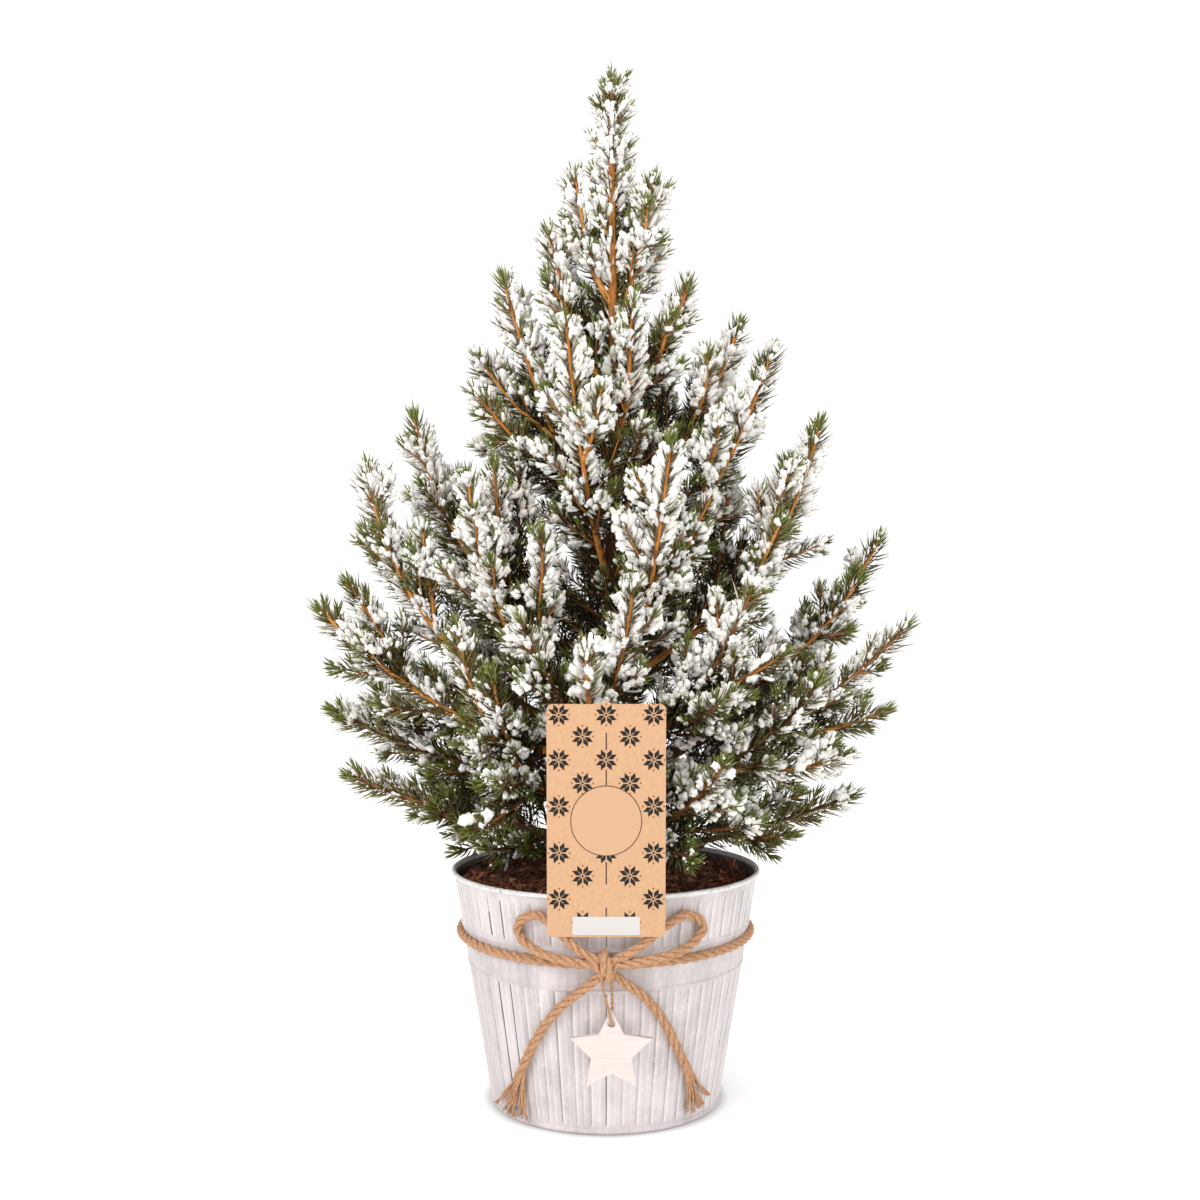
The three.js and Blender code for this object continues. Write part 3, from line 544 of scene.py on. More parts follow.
def gathered(parts):
    """Many meshes as one: places, triangles and a shade for each triangle."""
    places, triangles, shades, start = [], [], [], 0
    for part_places, part_triangles, shade in parts:
        places.append(part_places)
        triangles.append(part_triangles + start)
        shades.append(np.full(len(part_triangles), shade, dtype=np.int32))
        start += len(part_places)
    return np.concatenate(places), np.concatenate(triangles), np.concatenate(shades)


def spindle_template(rings, sides):
    """Triangles of a spindle that has a number of rings and a point at each end."""
    triangles = []
    for side in range(sides):
        following = (side + 1) % sides
        triangles.append((rings * sides, following, side))
        for ring in range(rings - 1):
            low, high = ring * sides, (ring + 1) * sides
            triangles.append((low + side, low + following, high + following))
            triangles.append((low + side, high + following, high + side))
        last = (rings - 1) * sides
        triangles.append((rings * sides + 1, last + side, last + following))
    return np.array(triangles, dtype=np.int32)


def spindles(
    roots, directions, bends, lengths, radii, shares, widths, sides,
    ends=(0.0, 1.0), flat=1.0, rough=None, helper=None,
):
    """Places and triangles of many bent spindles at once, such as needles or their coats.

    Each has a ring of its own width at each share of its length and a point at each of its ends. Rough
    makes each ring's corners uneven, and flat widens the rings square to helper and the direction.
    """
    if helper is None:
        helper = np.where(np.abs(directions[:, 2:3]) < 0.9, (0.0, 0.0, 1.0), (1.0, 0.0, 0.0))
    side = unit(np.cross(directions, helper))
    other = np.cross(directions, side) * flat
    turns = round_turns(sides)[None, :, None]
    spokes = side[:, None, :] * np.cos(turns) + other[:, None, :] * np.sin(turns)

    def centre(share):
        return roots + lengths[:, None] * (share * directions + share * share * bends)

    rows = []
    for index, (share, width) in enumerate(zip(shares, widths)):
        radius = radii[:, None] * width
        if rough is not None:
            radius = radius * rough[:, index, :]
        rows.append(centre(share)[:, None, :] + radius[:, :, None] * spokes)
    points = [centre(ends[0])[:, None, :], centre(ends[1])[:, None, :]]
    places = np.concatenate([*rows, *points], axis=1)
    starts = np.arange(len(roots)) * places.shape[1]
    triangles = spindle_template(len(shares), sides)[None, :, :] + starts[:, None, None]
    return places.reshape(-1, 3), triangles.reshape(-1, 3)


def lattice_noise(places, size, seed):
    """Soft noise from 0 to 1 that changes over the given size, in millimetres."""
    scaled = places / size
    cell = np.floor(scaled).astype(np.int64)
    part = scaled - cell
    part = part * part * (3 - 2 * part)
    total = np.zeros(len(places))
    for corner in range(8):
        step = np.array((corner & 1, corner >> 1 & 1, corner >> 2 & 1))
        key = (cell + step) * np.array((73856093, 19349663, 83492791))
        mixed = (key[:, 0] ^ key[:, 1] ^ key[:, 2]) + seed * 2654435761
        mixed = (mixed ^ (mixed >> 13)) * 1274126177 & 0x7FFFFFFF
        weight = np.prod(np.where(step, part, 1 - part), axis=1)
        total += weight * ((mixed >> 8) & 0xFFFF) / 65535
    return total


# Geometry Nodes


class Tree(Nodes):
    """A geometry node tree with named inputs, ending in Realize Instances and Set Material."""

    SOCKETS = {float: "NodeSocketFloat", int: "NodeSocketInt"}

    def __init__(self, name, **inputs):
        self.tree = bpy.data.node_groups.new(name, "GeometryNodeTree")
        face = self.tree.interface
        face.new_socket("Geometry", in_out="INPUT", socket_type="NodeSocketGeometry")
        self.identifiers = {}
        for key, value in inputs.items():
            kind = self.SOCKETS[type(value)]
            socket = face.new_socket(key.replace("_", " "), in_out="INPUT", socket_type=kind)
            socket.default_value = value
            self.identifiers[key] = (socket.identifier, value)
        face.new_socket("Geometry", in_out="OUTPUT", socket_type="NodeSocketGeometry")
        self.start = self.tree.nodes.new("NodeGroupInput")

    def input(self, name):
        return self.start.outputs[name]

    def place(self):
        """The place of each point, as a node with an output for each axis."""
        position = self.node("GeometryNodeInputPosition").outputs[0]
        return self.node("ShaderNodeSeparateXYZ", Vector=position)

    def vector(self, operation, *values):
        return self.worked("ShaderNodeVectorMath", operation, *values)

    def scaled(self, vector, factor):
        made = self.node("ShaderNodeVectorMath", {"operation": "SCALE"}, Vector=vector, Scale=factor)
        return made.outputs[0]

    def compare(self, operation, *values):
        return self.worked("FunctionNodeCompare", operation, *values)

    def both(self, *values):
        return self.worked("FunctionNodeBooleanMath", "AND", *values)

    def random(self, low, high, seed, kind="FLOAT_VECTOR"):
        """A random value for each point, from low to high."""
        made = self.node("FunctionNodeRandomValue", {"data_type": kind}, Seed=seed)
        first, second, output = (0, 1, 0) if kind == "FLOAT_VECTOR" else (2, 3, 1)
        made.inputs[first].default_value = low
        made.inputs[second].default_value = high
        return made.outputs[output]

    def joined(self, *parts):
        made = self.node("GeometryNodeJoinGeometry")
        for part in parts:
            self.tree.links.new(part, made.inputs[0])
        return made.outputs[0]

    def end(self, geometry, material, smooth=True):
        """Closes the tree: shading, real instances and the material."""
        shaded = self.node("GeometryNodeSetShadeSmooth", Geometry=geometry, Shade_Smooth=smooth)
        real = self.node("GeometryNodeRealizeInstances", Geometry=shaded.outputs[0])
        painted = self.node("GeometryNodeSetMaterial", Geometry=real.outputs[0], Material=material)
        finish = self.tree.nodes.new("NodeGroupOutput")
        self.tree.links.new(painted.outputs[0], finish.inputs[0])
        return self

    def run(self, name, base, **values):
        """Runs the tree on a base object and gives the result as a plain mesh object."""
        holder = base.modifiers.new(name, "NODES")
        holder.node_group = self.tree
        for key, (identifier, default) in self.identifiers.items():
            holder[identifier] = values.get(key, default)
        mesh = evaluated_mesh(base)
        mesh.name = name
        base.modifiers.remove(holder)
        bpy.data.objects.remove(base)
        return linked(name, mesh)


def base_object(name, places, edges=(), faces=()):
    """A starting mesh for a tree, in metres."""
    mesh = bpy.data.meshes.new(name)
    mesh.from_pydata([tuple(place) for place in places], edges, faces)
    mesh.update()
    return linked(name, mesh)


def moved(piece, matrix):
    """Puts a piece's place into its mesh."""
    piece.data.transform(matrix)
    piece.data.update()
    return piece


# Pot and soil

# Where a plank's corners lie, as shares of its width
PLANK_SHARES = (0.0, 0.045, 0.11, 0.3, 0.5, 0.7, 0.89, 0.955)
WALL_THICKNESS = 1.0 * MM
RIM_ROLL = 1.15 * MM
RIM_TOP = 2.5 * MM

# The soil's level in the pot, how deep its sheet goes, and how far out the chips lie
SOIL_LEVEL = 0.1112
SOIL_UNDERSIDE = 0.1016
CHIPS_REACH = 0.0695


def wall_radius(settings, height):
    """The wall's outer radius at a height, in metres."""
    return settings.foot_radius + settings.flare * height


def pot_rows(settings):
    """The pot's profile as radius, height and how much the planks show, from its underside round."""
    top = settings.height

    def wall(height, out=0.0, planks=0.0):
        return (wall_radius(settings, height * MM) + out * MM, height * MM, planks)

    # Underside and foot bead
    rows = [(0.0, 0.0, 0.0), (0.03, 0.0, 0.0), (0.0555, 0.0, 0.0), (0.0571, 0.0002, 0.0)]
    rows += [(0.0579, 0.0008, 0.0), wall(1.5, 0.85), wall(2.1, 0.7), wall(2.6, 0.2), wall(3.0, -0.15)]
    rows += [wall(3.6, -0.05), wall(4.3, 0.0, 0.3)]
    # Lower planks, and the plain band between its two beads
    rows += [wall(height, 0.0, 1.0) for height in (5.0, 9, 18, 30, 42, 54, 64, 68.6)]
    rows += [wall(69.3, 0.0, 0.5), wall(69.7, 0.15), wall(70.1, 0.5), wall(70.5, 0.6), wall(70.9, 0.5)]
    rows += [wall(71.3, 0.15), wall(72, 0.1), wall(80, 0.1), wall(87.6, 0.1)]
    rows += [wall(88.4, 0.15), wall(88.9, 0.45), wall(89.4, 0.6), wall(89.9, 0.5), wall(90.4, 0.15)]
    # Upper planks, which run out below the rim
    rows += [wall(90.9, 0.0, 0.5), wall(91.6, 0.0, 1.0)]
    rows += [wall(height, 0.0, 1.0) for height in (97, 103)]
    rows += [wall(109.5, 0.0, 0.8), wall(111.2, 0.0, 0.4), wall(112.6, 0.0), wall(113.2, 0.1)]
    # Rolled rim and inner wall
    roll, middle = RIM_ROLL, wall_radius(settings, top - 4.4 * MM) + 0.75 * MM
    for step in range(13):
        turn = math.radians(-105 + step * 23)
        rows.append((middle + roll * math.cos(turn), top - roll + roll * math.sin(turn), 0.0))
    inner = [top - 2.2 * MM, 0.109, 0.0985, 0.0012]
    rows += [(wall_radius(settings, height) - WALL_THICKNESS, height, 0.0) for height in inner]
    rows.append((0.0, 0.0012, 0.0))
    return rows


def planks_tree(settings, material):
    """Presses planks with grooves between them into the pot's wall."""
    tree = Tree(
        "pressed_planks", Planks=settings.flutes, Groove_depth=float(settings.groove_depth),
        Crown=0.0004, Unevenness=0.00035,
    )
    apart = tree.place()
    turn = tree.math("ARCTAN2", apart.outputs["Y"], apart.outputs["X"])
    along = tree.product(tree.math("DIVIDE", turn, 2 * math.pi), tree.input("Planks"))
    along = tree.math("ADD", along, WHOLE_TURNS)
    share = tree.math("FRACT", along)
    number = tree.math("FLOOR", along)
    away = tree.math("ABSOLUTE", tree.math("SUBTRACT", share, 0.5))
    groove = tree.node(
        "ShaderNodeMapRange", {"interpolation_type": "SMOOTHSTEP"}, Value=away, From_Min=0.43, From_Max=0.5
    )
    planks = tree.node("GeometryNodeInputNamedAttribute", {"data_type": "FLOAT"}, Name="planks").outputs[0]
    uneven = tree.node("ShaderNodeTexWhiteNoise", {"noise_dimensions": "1D"}, W=number).outputs[0]
    step = tree.product(tree.math("SUBTRACT", uneven, 0.5), tree.input("Unevenness"))
    bulge = tree.product(tree.product(away, away), tree.product(tree.input("Crown"), -4.0))
    press = tree.product(groove.outputs["Result"], tree.product(tree.input("Groove depth"), -1.0))
    total = tree.product(tree.math("ADD", tree.math("ADD", bulge, press), step), planks)
    out = tree.node("ShaderNodeCombineXYZ", X=tree.math("COSINE", turn), Y=tree.math("SINE", turn))
    shifted = tree.node(
        "GeometryNodeSetPosition", Geometry=tree.input("Geometry"),
        Offset=tree.scaled(out.outputs[0], total),
    )
    return tree.end(shifted.outputs[0], material)


class MakePot(bpy.types.Operator):
    """Turns the zinc pot and presses its planks"""

    bl_idname = "spruce.make_pot"
    bl_label = "Make the pot"

    def execute(self, context):
        settings = context.scene.spruce_pot
        turns = [
            2 * math.pi * (plank + share) / settings.flutes
            for plank in range(settings.flutes)
            for share in PLANK_SHARES
        ]
        rows = pot_rows(settings)
        around, cosines, sines = len(turns), np.cos(turns), np.sin(turns)
        places, planks = [], []
        for radius, height, shown in rows[1:-1]:
            places.append(np.stack([radius * cosines, radius * sines, np.full(around, height)], axis=-1))
            planks.append(np.full(around, shown))
        places = np.concatenate(places + [np.array([[0, 0, rows[0][1]], [0, 0, rows[-1][1]]])])
        planks = np.concatenate(planks + [np.zeros(2)])
        faces = ring_walls(len(rows) - 2, around).tolist()
        foot, floor, last = len(places) - 2, len(places) - 1, (len(rows) - 3) * around
        for index in range(around):
            following = (index + 1) % around
            faces.append((foot, following, index))
            faces.append((floor, last + index, last + following))
        base = base_object("pot_base", places, faces=faces)
        layer = base.data.attributes.new("planks", "FLOAT", "POINT")
        layer.data.foreach_set("value", planks.astype(np.float32))
        outside = zinc_outside(settings)
        piece = planks_tree(settings, outside).run("zinc_pot", base)
        centres = face_centres(piece.data)
        radii = np.hypot(centres[:, 0], centres[:, 1])
        shades = np.zeros(len(centres), dtype=np.int32)
        neck = settings.height - RIM_TOP
        shades[centres[:, 2] > neck] = 1
        within = (radii < wall_radius(settings, centres[:, 2]) - 0.6 * MM) & (centres[:, 2] > 0.0008)
        shades[within & (centres[:, 2] < neck + 0.5 * MM)] = 2
        repaint(piece.data, (outside, zinc_rim(), zinc_inside()), shades)
        finished(piece, "pot", slot="zinc")
        return {"FINISHED"}


def chips_tree(settings, material):
    """Scatters bark chips over the soil."""
    tree = Tree(
        "bark_chips", Chips_per_square_metre=float(settings.chips) / (math.pi * 0.0735**2), Seed=4,
        Reach=CHIPS_REACH,
    )
    upward = tree.node("ShaderNodeSeparateXYZ", Vector=tree.node("GeometryNodeInputNormal").outputs[0])
    across, aside = tree.place().outputs[0:2]
    on_top = tree.compare("GREATER_THAN", upward.outputs["Z"], 0.3)
    out = tree.math("SQRT", tree.math("ADD", tree.product(across, across), tree.product(aside, aside)))
    inside = tree.compare("LESS_THAN", out, tree.input("Reach"))
    points = tree.node(
        "GeometryNodeDistributePointsOnFaces", Mesh=tree.input("Geometry"),
        Selection=tree.both(on_top, inside), Density=tree.input("Chips per square metre"),
        Seed=tree.input("Seed"),
    )
    turn = tree.random((-0.7, -0.7, -3.14), (0.7, 0.7, 3.14), 3)
    parts = [tree.input("Geometry")]
    shapes = (
        ("GeometryNodeMeshCube", {"Size": (0.0052, 0.0018, 0.0009)}, 0.4, 1.5, 0.0, 0.42),
        ("GeometryNodeMeshIcoSphere", {"Radius": 0.0014, "Subdivisions": 1}, 0.5, 1.5, 0.42, 0.55),
        ("GeometryNodeMeshCube", {"Size": (0.0105, 0.0008, 0.0007)}, 0.5, 1.4, 0.55, 1.01),
    )
    pick = tree.random(0.0, 1.0, 8, "FLOAT")
    for index, (kind, sizes, small, large, low, high) in enumerate(shapes):
        picked = tree.both(tree.compare("GREATER_EQUAL", pick, low), tree.compare("LESS_THAN", pick, high))
        laid = tree.node(
            "GeometryNodeInstanceOnPoints", Points=points.outputs["Points"], Selection=picked,
            Instance=tree.node(kind, **sizes).outputs["Mesh"], Rotation=turn,
            Scale=tree.random((small, small, small), (large, large, large), 20 + index),
        )
        real = tree.node("GeometryNodeRealizeInstances", Geometry=laid.outputs[0])
        wobble = tree.node(
            "GeometryNodeSetPosition", Geometry=real.outputs[0],
            Offset=tree.random((-0.0004, -0.0004, -0.0003), (0.0004, 0.0004, 0.0004), 30 + index),
        )
        parts.append(wobble.outputs[0])
    return tree.end(tree.joined(*parts), material, smooth=False)


class MakeSoil(bpy.types.Operator):
    """Fills the pot with soil and bark chips"""

    bl_idname = "spruce.make_soil"
    bl_label = "Make the soil"

    def execute(self, context):
        settings = context.scene.spruce_pot
        rings, around = 34, 96
        places = []
        edge = wall_radius(settings, 0.11) - 1.35 * MM
        turns = round_turns(around)
        for radius in np.linspace(0.0, edge, rings)[1:]:
            share = radius / edge
            height = SOIL_LEVEL + 0.0011 * (1 - share**2) - 0.002 * max(0.0, share - 0.94) / 0.06
            ring = [radius * np.cos(turns), radius * np.sin(turns), np.full(around, height)]
            places.append(np.stack(ring, -1))
        places = np.concatenate(places + [np.array([[0.0, 0.0, SOIL_LEVEL + 0.001]])])
        lumps = lattice_noise(places / MM, 7.0, 3) + 0.6 * lattice_noise(places / MM, 2.6, 5) - 0.8
        places[:, 2] += 1.9 * MM * lumps
        below = places[(rings - 2) * around:(rings - 1) * around].copy()
        below[:, :2] *= 0.975
        below[:, 2] = SOIL_UNDERSIDE
        places = np.concatenate([places, below, np.array([[0.0, 0.0, SOIL_UNDERSIDE]])])
        faces = ring_walls(rings - 1, around)[:, [0, 3, 2, 1]].tolist()
        middle, last = (rings - 1) * around, (rings - 2) * around
        under, bottom = middle + 1, len(places) - 1
        for index in range(around):
            following = (index + 1) % around
            faces.append((middle, index, following))
            faces.append((last + index, under + index, under + following, last + following))
            faces.append((bottom, under + following, under + index))
        dark = soil_dark(settings)
        pale = Finish("pale_chip", srgb(150, 98, 70), 0.7, specular=0.35).material
        red = Finish("red_chip", srgb(106, 54, 36), 0.75, specular=0.3).material
        piece = chips_tree(settings, dark).run("soil_bed", base_object("soil_base", places, faces=faces))
        tone = lattice_noise(face_centres(piece.data) / MM, 3.5, 9)
        shades = np.where(tone > 0.66, 1, np.where(tone > 0.42, 2, 0))
        # The bed's own faces come first, and the chips follow
        shades[:len(faces)] = 0
        repaint(piece.data, (dark, pale, red), shades)
        finished(piece, "soil", slot="soil")
        return {"FINISHED"}


# Growth of the crown, in millimetres

# How near to the pot and the card stems and needles may come: the lowest level over the soil and over
# the rim, how far out the rim starts, and half the width, the top and the back of the card's space
STEM_ROOM = (115.0, 121.0, 62, 31, 212, -73)
NEEDLE_ROOM = (113.5, 118.0, 64, 29, 209, -78)

# Heights between which short shoots leave the trunk, and above which its front has none
TRUNK_SHOOTS_FROM = 124.0
TRUNK_SHOOTS_TO = 452.0
FRONT_BARE_ABOVE = 316.0

# A limb whose middle lies further back than this grows more thickly
BACK_FROM = 22.0

UPRIGHT = np.array((0.0, 0.0, 1.0))


def trunk_centre(height):
    """The trunk's centre at a height, or at many."""
    bends = np.array(TRUNK_BENDS)
    heights = np.atleast_1d(np.asarray(height, dtype=float))
    rows = []
    for axis in (0, 1):
        near = [np.interp(heights + shift, bends[:, 2], bends[:, axis]) for shift in (-24, -12, 0, 12, 24)]
        rows.append(np.mean(near, axis=0))
    return np.stack([*rows, heights], axis=-1)


def crown_reach(heights):
    """How far the crown may reach from its axis at some heights."""
    table = np.array(CROWN_REACH)
    return np.interp(heights, table[:, 0], table[:, 1])


def place_at(side, reach, height):
    turn = math.radians(side)
    return np.array((reach * math.cos(turn), reach * math.sin(turn), height))


def limb_course(foot, side, reach, height, sweep):
    """Root, bend and tip of a limb, which leaves the trunk low and then turns up."""
    root = trunk_centre(foot)[0]
    tip = place_at(side, reach, height)
    bend = root + (tip - root) * sweep
    bend[2] = foot + (height - foot) * LIMB_RISE
    return root, bend, tip


def bent_line(root, bend, tip, spacing=4.0):
    """Points along a curve that leaves root towards bend and ends at tip."""
    length = np.linalg.norm(bend - root) + np.linalg.norm(tip - bend)
    shares = np.linspace(0, 1, max(4, int(length / spacing)))[:, None]
    return (1 - shares) ** 2 * root + 2 * shares * (1 - shares) * bend + shares**2 * tip


class Shoot:
    """One stem of the crown: its line, thickness and rank, how snowy it is, and where its needles start.

    A shoot turns its bare side, which has few needles, to the front or the back and a little outwards.
    """

    def __init__(self, points, thick, thin, rank, snow, leafy=0.0, fade=0.8):
        self.points = points
        steps = np.linalg.norm(np.diff(points, axis=0), axis=1)
        self.runs = np.concatenate([[0.0], np.cumsum(steps)])
        self.length = self.runs[-1]
        self.radii = thick + (thin - thick) * (self.runs / self.length) ** fade
        self.rank = rank
        self.snow = snow
        self.leafy = leafy
        middle = points[len(points) // 2]
        out = middle - trunk_centre(middle[2])[0]
        out[2] = 0
        front = np.array((0.0, -0.75 if middle[1] < 25 else 0.75, 0.0))
        self.bare = unit(front + 0.45 * out / max(np.linalg.norm(out), 12.0))

    def at(self, runs):
        return np.stack([np.interp(runs, self.runs, self.points[:, axis]) for axis in range(3)], axis=-1)

    def radius(self, runs):
        return np.interp(runs, self.runs, self.radii)

    def frames(self, runs):
        """Directions along the shoot and square to it at some runs from its root."""
        rows = []
        for table in tube_frames(self.points):
            near = [np.interp(runs, self.runs, table[:, axis]) for axis in range(3)]
            rows.append(unit(np.stack(near, axis=-1)))
        return rows


def wavered(points, amount, chance):
    """A line with the small crooks of living wood, its ends kept."""
    count = len(points)
    waves = chance.normal(size=(3, 3)) * amount
    shares = np.linspace(0, 1, count)[:, None]
    wave = sum(waves[index] * np.sin(math.pi * (index + 1) * shares) / (index + 1) for index in range(3))
    return points + wave


def in_room(points, room):
    """Which points keep off the soil, the pot's rim and the card."""
    soil, rim, rim_inside, half, top, back = room
    out = np.hypot(points[:, 0], points[:, 1])
    above = points[:, 2] > np.where(out > rim_inside, rim, soil)
    by_card = (np.abs(points[:, 0]) < half) & (points[:, 2] < top) & (points[:, 1] < back)
    return above & ~by_card


def risen(values, start, end):
    """0 on start's side and 1 on end's, and even between them."""
    return np.clip((values - start) / (end - start), 0, 1)


def new_shoot(root, way, late, length, thick, rank, snow, leafy=0.06):
    """A short shoot that leaves its root one way and bends the other, or nothing where it has no room."""
    tip = root + length * (0.5 * way + 0.5 * late)
    points = bent_line(root, root + way * length * 0.5, tip, 3.0)
    if length < 3.5 or not in_room(points[len(points) // 2:], STEM_ROOM).all():
        return []
    if np.hypot(*tip[:2]) > crown_reach(tip[2]) + 5:
        return []
    return [Shoot(points, thick, 0.42, rank, snow, leafy)]


def side_shoots(
    parent, every, share, longest, rank, chance, lean, first=0.0, leading=0.0, add=4.0, aside=0.0, bushy=0.0
):
    """Shoots set round a parent at the golden angle, shorter towards its tip, few on its bare side.

    Each is as long as a share of what is left of the parent, and add more. Leading is how many run on
    further, aside how many the bare side leaves out, and bushy the parent's lower share where none is.
    """
    grown = []
    run = max(first, parent.leafy * 0.8) * parent.length + every * chance.uniform(0.3, 1.0)
    turn = chance.uniform(0, 2 * math.pi)
    while run < parent.length - 2.5:
        left = parent.length - run
        grows = 1.7 if chance.uniform() < leading else 1.0
        wanted = share * grows * left * chance.uniform(0.75, 1.3) + add
        length = min(wanted, longest * chance.uniform(0.8, 1.1))
        root = parent.at(np.array([run]))[0]
        along, side, other = (row[0] for row in parent.frames(np.array([run])))
        angle = math.radians(lean + chance.uniform(-8, 10))
        spoke = side * math.cos(turn) + other * math.sin(turn)
        way = along * math.cos(angle) + math.sin(angle) * spoke
        out = root - trunk_centre(root[2])[0]
        out[2] = 0
        pull = np.array((0, 0, 0.22)) + 0.12 * unit(out)
        way = unit(way + pull * 0.6)
        thick = min(parent.radius(run) * 0.6, 0.42 + 0.02 * length)
        snow = np.clip(parent.snow + chance.normal() * 0.14, 0, 1)
        hides = spoke.dot(parent.bare) > 0.3 and chance.uniform() < aside and left > 9
        if not hides or run < bushy * parent.length:
            grown += new_shoot(root, way, unit(way + along * 0.35 + pull), length, thick, rank, snow)
        turn += GOLDEN_ANGLE + chance.uniform(-0.3, 0.3)
        run += every * chance.uniform(0.75, 1.25)
    return grown


def trunk_shoots(every, chance):
    """Short shoots straight from the trunk, which fill the crown between its limbs.

    High up at the front there are none, so that the trunk shows there.
    """
    grown = []
    height, turn = TRUNK_SHOOTS_FROM, 0.0
    while height < TRUNK_SHOOTS_TO:
        reach = float(crown_reach(height))
        length = min(0.44 * reach, 48) * chance.uniform(0.5, 1.1)
        way = unit(np.array((math.cos(turn), math.sin(turn), chance.uniform(0.2, 0.9))))
        late = unit(way + 0.6 * UPRIGHT)
        snow = np.clip(0.1 + 0.5 * (height - 170) / 280 + chance.normal() * 0.12, 0, 1)
        if height < FRONT_BARE_ABOVE or way[1] > -0.25:
            root = trunk_centre(height)[0]
            grown += new_shoot(root, way, late, length, thick=1.0, rank=2, snow=snow, leafy=0.14)
        turn += GOLDEN_ANGLE + chance.uniform(-0.2, 0.2)
        height += every * chance.uniform(0.7, 1.3)
    return grown


def grow_crown(settings):
    """Every shoot of the crown, by the same limbs and forks as the solids and then finer."""
    chance = np.random.default_rng(settings.seed)
    leaders = []
    for _, foot, side, reach, height, sweep, bare, snow, forks in LIMBS:
        points = wavered(bent_line(*limb_course(foot, side, reach, height, sweep)), 0.9, chance)
        stem = Shoot(
            points, thick=1.9 + 0.006 * reach, thin=0.8, rank=0, snow=snow, leafy=max(bare, 0.2), fade=0.5
        )
        leaders.append(stem)
        for share, fork_side, fork_reach, fork_height in forks:
            start = stem.at(np.array([share * stem.length]))[0]
            end = place_at(fork_side, fork_reach, fork_height)
            low = (start + end) / 2
            low[2] -= FORK_SAG * np.linalg.norm(end - start)
            line = wavered(bent_line(start, low, end), 0.8, chance)
            fork_snow = np.clip(snow + chance.normal() * 0.12, 0, 1)
            leaders.append(Shoot(line, thick=1.25, thin=0.72, rank=1, snow=fork_snow, leafy=0.08))
    tip_line = trunk_centre(np.linspace(300, CROWN_TOP - 3, 40))
    crown_tip = Shoot(tip_line, thick=2.9, thin=1.0, rank=0, snow=0.5, leafy=0.1, fade=1.0)
    every = settings.side_shoot_every / MM
    sides = trunk_shoots(every * 0.42, chance)
    for leader in leaders:
        behind = leader.at(np.array([leader.length * 0.6]))[0][1] > BACK_FROM
        spacing, share, aside = (0.8, 0.38, 0.5) if behind else (1.0, 0.33, 0.85)
        sides += side_shoots(
            leader, every * spacing, share, longest=36.0, rank=2, chance=chance, lean=46,
            leading=0.3, aside=aside, bushy=0.4,
        )
    sides += side_shoots(
        crown_tip, every * 0.62, 0.28, longest=20.0, rank=2, chance=chance, lean=46, add=9.0, aside=0.9
    )
    # The tuft at the crown's very top
    for turn in np.arange(7) * GOLDEN_ANGLE:
        way = unit(np.array((0.55 * math.cos(turn), 0.55 * math.sin(turn), 1.0)))
        late = unit(way + UPRIGHT)
        root = trunk_centre(CROWN_TOP - 15)[0]
        sides += new_shoot(root, way, late, length=9.0, thick=0.7, rank=2, snow=0.35)
    twigs = []
    for shoot in sides:
        if shoot.length > 12:
            twigs += side_shoots(
                shoot, 7.0, 0.4, longest=12.0, rank=3, chance=chance, lean=44, first=0.2, aside=0.5
            )
    return [*leaders, crown_tip], sides, twigs


class Thicket:
    """How thickly the shoots fill the crown, and so how open any place in it is."""

    CELL = 7.0
    LOW = np.array((-190.0, -190.0, 80.0))
    CELLS = np.array((55, 55, 68))
    SHADE = 0.2

    def __init__(self, shoots):
        places = np.concatenate(
            [shoot.at(np.arange(shoot.leafy * shoot.length, shoot.length, 2.0)) for shoot in shoots]
        )
        grid = np.zeros(self.CELLS)
        np.add.at(grid, tuple(self.cells(places).T), 2.0)
        for axis in range(3):
            grid = (np.roll(grid, 1, axis) + 2 * grid + np.roll(grid, -1, axis)) / 4
        self.grid = grid

    def cells(self, places):
        return np.clip(((places - self.LOW) / self.CELL).astype(int), 0, self.CELLS - 1)

    def open_ways(self, places):
        """How clear the view from each place is: out, up and out, up, to both sides, front and back."""
        out = places - trunk_centre(places[:, 2])
        out[:, 2] = 0
        out = unit(out)
        up = np.broadcast_to(UPRIGHT, out.shape)
        aside = np.cross(out, up)
        front = np.broadcast_to((0.0, -1.0, 0.25), out.shape)
        back = np.broadcast_to((0.0, 1.0, 0.25), out.shape)
        clear = []
        for way in (out, out + up, up, out + aside, out - aside, front, back):
            way = unit(way)
            met = np.zeros(len(places))
            for step in range(1, 12):
                met += self.grid[tuple(self.cells(places + way * (2 + 8.0 * step)).T)]
            clear.append(np.exp(-self.SHADE * met))
        return np.stack(clear, axis=-1)

    def seen(self, places):
        """From 0 deep within the crown to 1 on its outside."""
        return np.sort(self.open_ways(places), axis=1)[:, -2:].mean(axis=1)

    def sky(self, places):
        """How much of each place's view upwards is clear."""
        return self.open_ways(places)[:, 1:3].max(axis=1)


